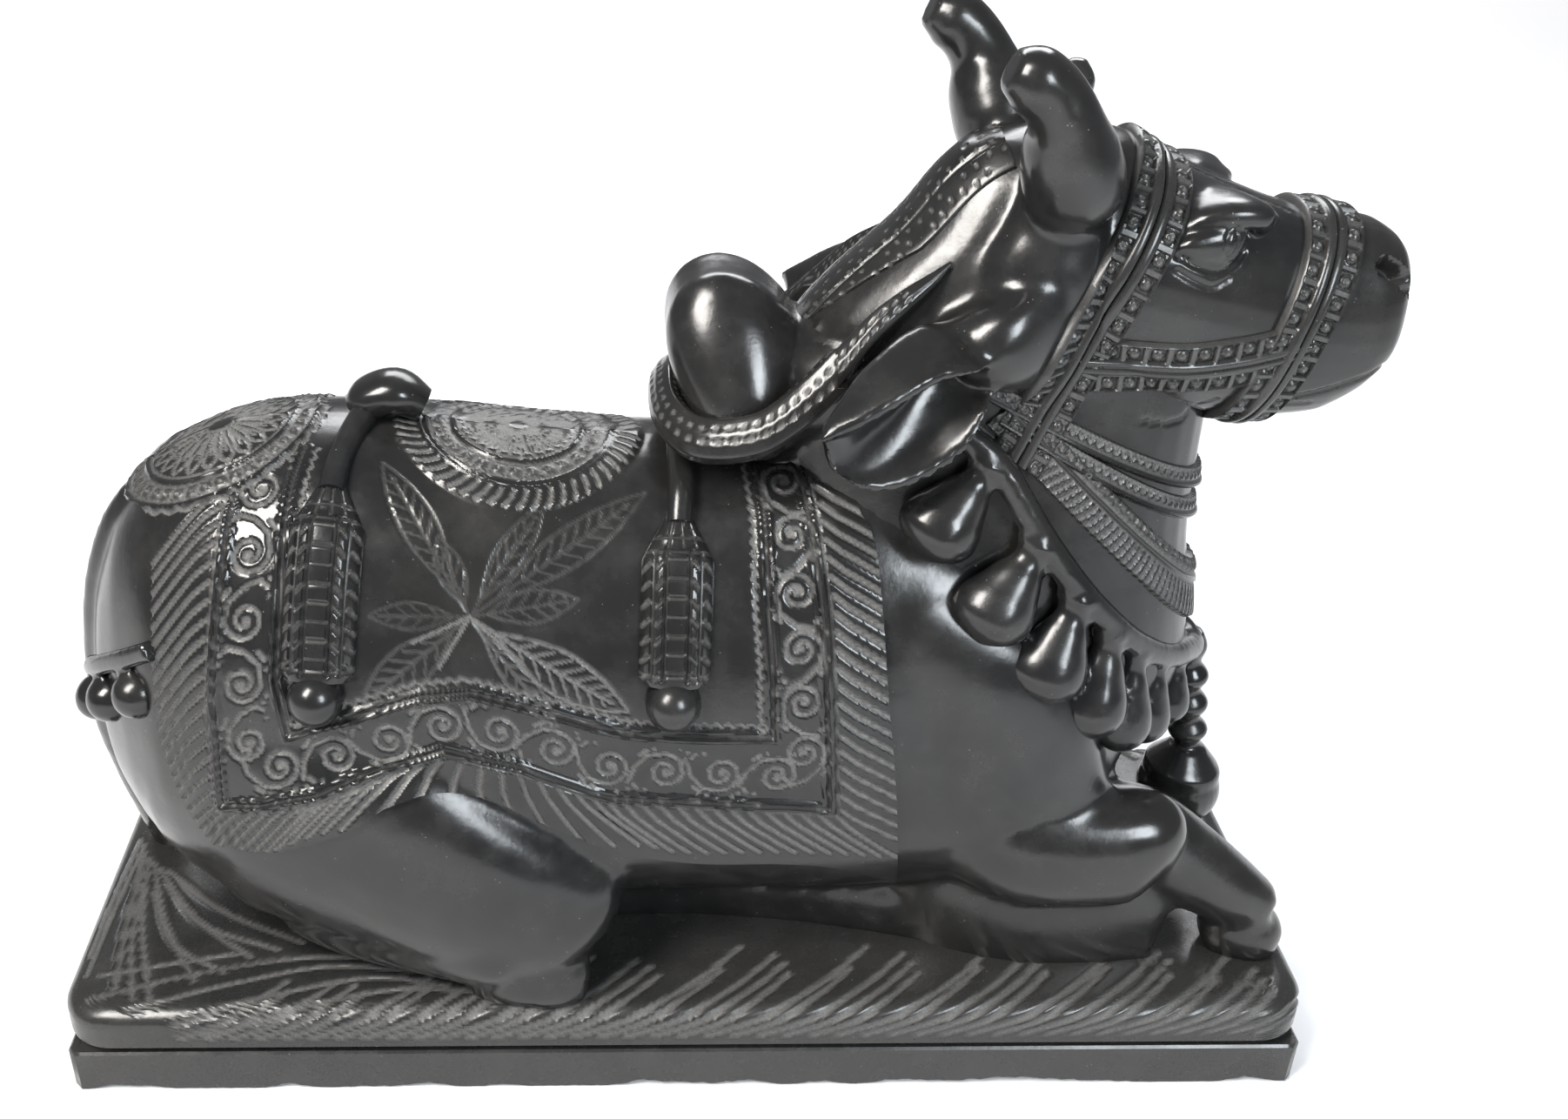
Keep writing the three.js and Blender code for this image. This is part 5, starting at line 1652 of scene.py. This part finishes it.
# %% Lower slab and waist
PLINTH_LENGTH, PLINTH_WIDTH, PLINTH_CORNER = 620, 220, 14
LOWER_SLAB, GROOVE, UPPER_SLAB = 25, 6, 21
GROOVE_DEPTH, LOWER_INSET = 9, 2
WAIST_INSET = LOWER_INSET + GROOVE_DEPTH
WAIST_FOOT, WAIST_TOP = 2, LOWER_SLAB + GROOVE + 4  # it runs into both slabs
CHIP_STEP, CHIP_RUN = 3.0, 6  # mm from point to point, and points from one long chip to the next
LONG_CHIP, SMALL_CHIP, LEAST_CHIP = 4.6, 1.5, 0.5
LOWER_CORNER, LOWER_ARRIS = 4.0, 1.2
LOWER_ROUGH = 0.15  # how much of the polish the foot lacks


def waist_block(name, length, width, low, high):
    bpy.ops.object.select_all(action="DESELECT")
    bpy.ops.mesh.primitive_cube_add(size=1, location=(0, 0, (low + high) / 2 * MM))
    piece = bpy.context.object
    piece.name = name
    piece.scale = (length * MM, width * MM, (high - low) * MM)
    bpy.ops.object.transform_apply(location=True, rotation=True, scale=True)
    bpy.ops.object.mode_set(mode="EDIT")
    mesh = bmesh.from_edit_mesh(piece.data)
    for edge in mesh.edges:
        a, b = (v.co for v in edge.verts)
        edge.select_set(abs(a.z - b.z) > abs(a.x - b.x) + abs(a.y - b.y))
    bmesh.update_edit_mesh(piece.data)
    bpy.ops.mesh.bevel(offset=PLINTH_CORNER * MM, segments=8, affect="EDGES")
    mesh = bmesh.from_edit_mesh(piece.data)
    for edge in mesh.edges:
        level = abs(edge.verts[0].co.z - edge.verts[1].co.z) < 0.1 * MM
        edge.select_set(level and edge.calc_face_angle(0) > 1)
    bmesh.update_edit_mesh(piece.data)
    bpy.ops.mesh.bevel(offset=MM, segments=6, affect="EDGES")
    bpy.ops.object.mode_set(mode="OBJECT")
    return piece


def rim_of(length, width):
    """Points round a rectangle, short of its corners, and the way out at each."""
    x, y = length / 2, width / 2
    corners = np.array([(x, -y), (x, y), (-x, y), (-x, -y)])
    around, facing = [], []
    for start, end in zip(corners, np.roll(corners, -1, axis=0)):
        run = np.linalg.norm(end - start)
        along = (end - start) / run
        for at in np.linspace(LOWER_CORNER, run - LOWER_CORNER, round(run / CHIP_STEP)):
            around.append(start + along * at)
            facing.append((along[1], -along[0]))
    return np.array(around), np.array(facing)


def chipped_slab(name, length, width, high):
    """A slab drawn ring by ring, with chips broken out of its lowest edge."""
    around, facing = rim_of(length, width)
    count = len(around)
    broken = np.random.default_rng(11).random((2, count))
    long_chips = np.interp(np.arange(count), np.arange(0, count, CHIP_RUN), broken[0, ::CHIP_RUN])
    chip = np.clip(LONG_CHIP * (long_chips - 0.3), 0, None)
    chip = chip + SMALL_CHIP * broken[1] * long_chips + LEAST_CHIP
    levels = (  # shares of the chip inwards and upwards, then mm inwards and upwards
        (1.3, 0, 0, 0), (0.45, 0.5, 0, 0), (0, 1, 0, 0), (0, 0, 0, 8), (0, 0, 0, high - LOWER_ARRIS),
        (0, 0, LOWER_ARRIS, high))
    rings = []
    for share_in, share_up, inset, height in levels:
        places = around - facing * (chip * share_in + inset)[:, None]
        rings.append(np.column_stack([places, chip * share_up + height - PLINTH_TOP]))
    return lofted(name, rings)


def inset_size(inset):
    return PLINTH_LENGTH - 2 * inset, PLINTH_WIDTH - 2 * inset


lower = chipped_slab("lower_slab", *inset_size(LOWER_INSET), LOWER_SLAB)
waist = waist_block("waist", *inset_size(WAIST_INSET), WAIST_FOOT, WAIST_TOP)
for piece in (lower, waist):
    rough_edges(piece, np.full(len(piece.data.vertices), LOWER_ROUGH))
print("slabs", [len(p.data.polygons) for p in (lower, waist)])

# %% [markdown]
# ## Fronds on the upper slab
#
# The upper slab ends in a broad soft roll. Long curved strokes were cut over it: a row of fronds that
# lean forward along the near side, and a fan at the rear. The slab is one sheet that runs over the roll
# and down its sides, and the strokes are drawn on the sheet laid flat.

# %% Chisel the upper slab
ROLL_OUT, ROLL_DOWN = 12, 9
SLAB_GRAIN, SLAB_ROUGH = 1.7, 0.12
SLAB_SIDES = 32  # what the sheet needs for its two sides, past the plinth's length or width
FAN = [
    [(-297, 20), (-300, -30), (-301, -81)], [(-295, 13), (-291, -40), (-284, -93)],
    [(-292, 8), (-282, -46), (-265, -99)], [(-288, 4), (-272, -40), (-246, -86)],
    [(-284, 0), (-256, -40), (-221, -69)], [(-279, -2), (-240, -36), (-196, -59)],
    [(-300, 24), (-303, -20), (-304, -66)], [(-290, -12), (-284, -60), (-274, -98)],
    [(-282, -20), (-262, -60), (-232, -80)], [(-276, -14), (-248, -46), (-208, -64)],
]
LONG_STROKES = [
    [(-292, -81), (-258, -73), (-225, -66)], [(-296, -98), (-248, -81), (-195, -70), (-156, -70)],
    [(-274, -105), (-221, -86), (-179, -76), (-132, -80)],
    [(-252, -113), (-199, -94), (-154, -84), (-119, -90)],
    [(-236, -119), (-180, -101), (-140, -92), (-104, -94)],
]
FROND = ((0, 0), (32, 13), (60, 33), (84, 57))
FROND_PITCH = 13.0


def roll_profile():
    """Down the slab's side: run, distance out, drop, and how much the surface faces out and up."""
    turn = np.linspace(0, math.pi / 2, 13)
    out, drop = ROLL_OUT * np.sin(turn), ROLL_DOWN * (1 - np.cos(turn))
    facing = np.stack([np.sin(turn) / ROLL_OUT, np.cos(turn) / ROLL_DOWN])
    facing /= np.linalg.norm(facing, axis=0)
    out, drop = np.append(out, ROLL_OUT), np.append(drop, UPPER_SLAB)
    run = np.concatenate([[0], np.cumsum(np.hypot(np.diff(out), np.diff(drop)))])
    return run, out, drop, np.append(facing[0], 1), np.append(facing[1], 0)


def cut_fronds(work):
    for path in FAN + LONG_STROKES:
        work.groove(smooth_path(path), 3.8, 1.2, rough=0.8)
    for count, x in enumerate(np.arange(-250, 284, FROND_PITCH)):
        reach = (1, 0.72, 0.9, 0.8, 0.66)[count % 5] * np.interp(x, [-250, -60, 180, 284], [0.6, 1, 1, 0.5])
        path = [(x + run * reach, rise * reach - 121) for run, rise in FROND]
        work.groove(smooth_path(path), 4.2, 1.2, rough=0.85)
    for x in np.arange(-300, 300, FROND_PITCH):  # the far side has shorter ones
        work.groove(smooth_path([(x, 122), (x + 14, 112), (x + 30, 96)]), 3.8, 1.2, rough=0.6)


def slab_skin(s, t):
    """Nested round-cornered rectangles: the inner ones lie on the top, the outer ones go down the side."""
    square = np.stack([2 * s - 1, 2 * t - 1], axis=-1)
    level = np.maximum(np.abs(square).max(axis=1), 1e-6)[:, None]
    flat_half = np.array([PLINTH_LENGTH / 2 - ROLL_OUT, PLINTH_WIDTH / 2 - ROLL_OUT])
    straight = flat_half - PLINTH_CORNER
    border = square / level * flat_half
    past = np.clip(np.abs(border) - straight, 0, None)
    sideways = np.sign(border) * past / np.linalg.norm(past, axis=1)[:, None]
    border = np.sign(border) * np.minimum(np.abs(border), straight) + PLINTH_CORNER * sideways
    run, out, drop, faces_out, faces_up = roll_profile()
    top_share = flat_half[1] / (flat_half[1] + run[-1])
    down_side = np.clip(level[:, 0] - top_share, 0, None) / (1 - top_share) * run[-1]
    on_top = border * np.minimum(level / top_share, 1)
    work = Carving(on_top + sideways * down_side[:, None])
    cut_fronds(work)
    work.cut = np.maximum(work.cut, SLAB_ROUGH)
    spread, fall, outward, upward = (np.interp(down_side, run, k) for k in (out, drop, faces_out, faces_up))
    points = np.column_stack([on_top + sideways * spread[:, None], -fall])
    facing = np.column_stack([sideways * outward[:, None], upward])
    return points + work.lift[:, None] * facing, facing, work.cut


columns, rows = (round((size + SLAB_SIDES) / SLAB_GRAIN) for size in (PLINTH_LENGTH, PLINTH_WIDTH))
upper = skin_sheet("upper_slab", columns, rows, slab_skin, inner=(0, 0, -UPPER_SLAB))
print("upper slab faces", len(upper.data.polygons))

# %% [markdown]
# ## Finishing
#
# Every piece is part of the one stone, so all of them ride on one root and stand for it, and the imported
# solid is hidden.

# %% Finish each piece and count its triangles
carved = [o for o in bpy.context.scene.objects if o.type == "MESH" and o != floor and o.name != STONE_NODE]
for piece in carved:
    bpy.ops.object.select_all(action="DESELECT")
    piece.select_set(True)
    bpy.context.view_layer.objects.active = piece
    bpy.ops.object.shade_smooth_by_angle(angle=math.radians(40))
    piece.data.materials.clear()
    piece.data.materials.append(black_stone)
    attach(piece, "root")
    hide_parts(STONE_NODE)
triangles = {piece.name: sum(len(p.vertices) - 2 for p in piece.data.polygons) for piece in carved}
print("triangles", sum(triangles.values()), triangles)
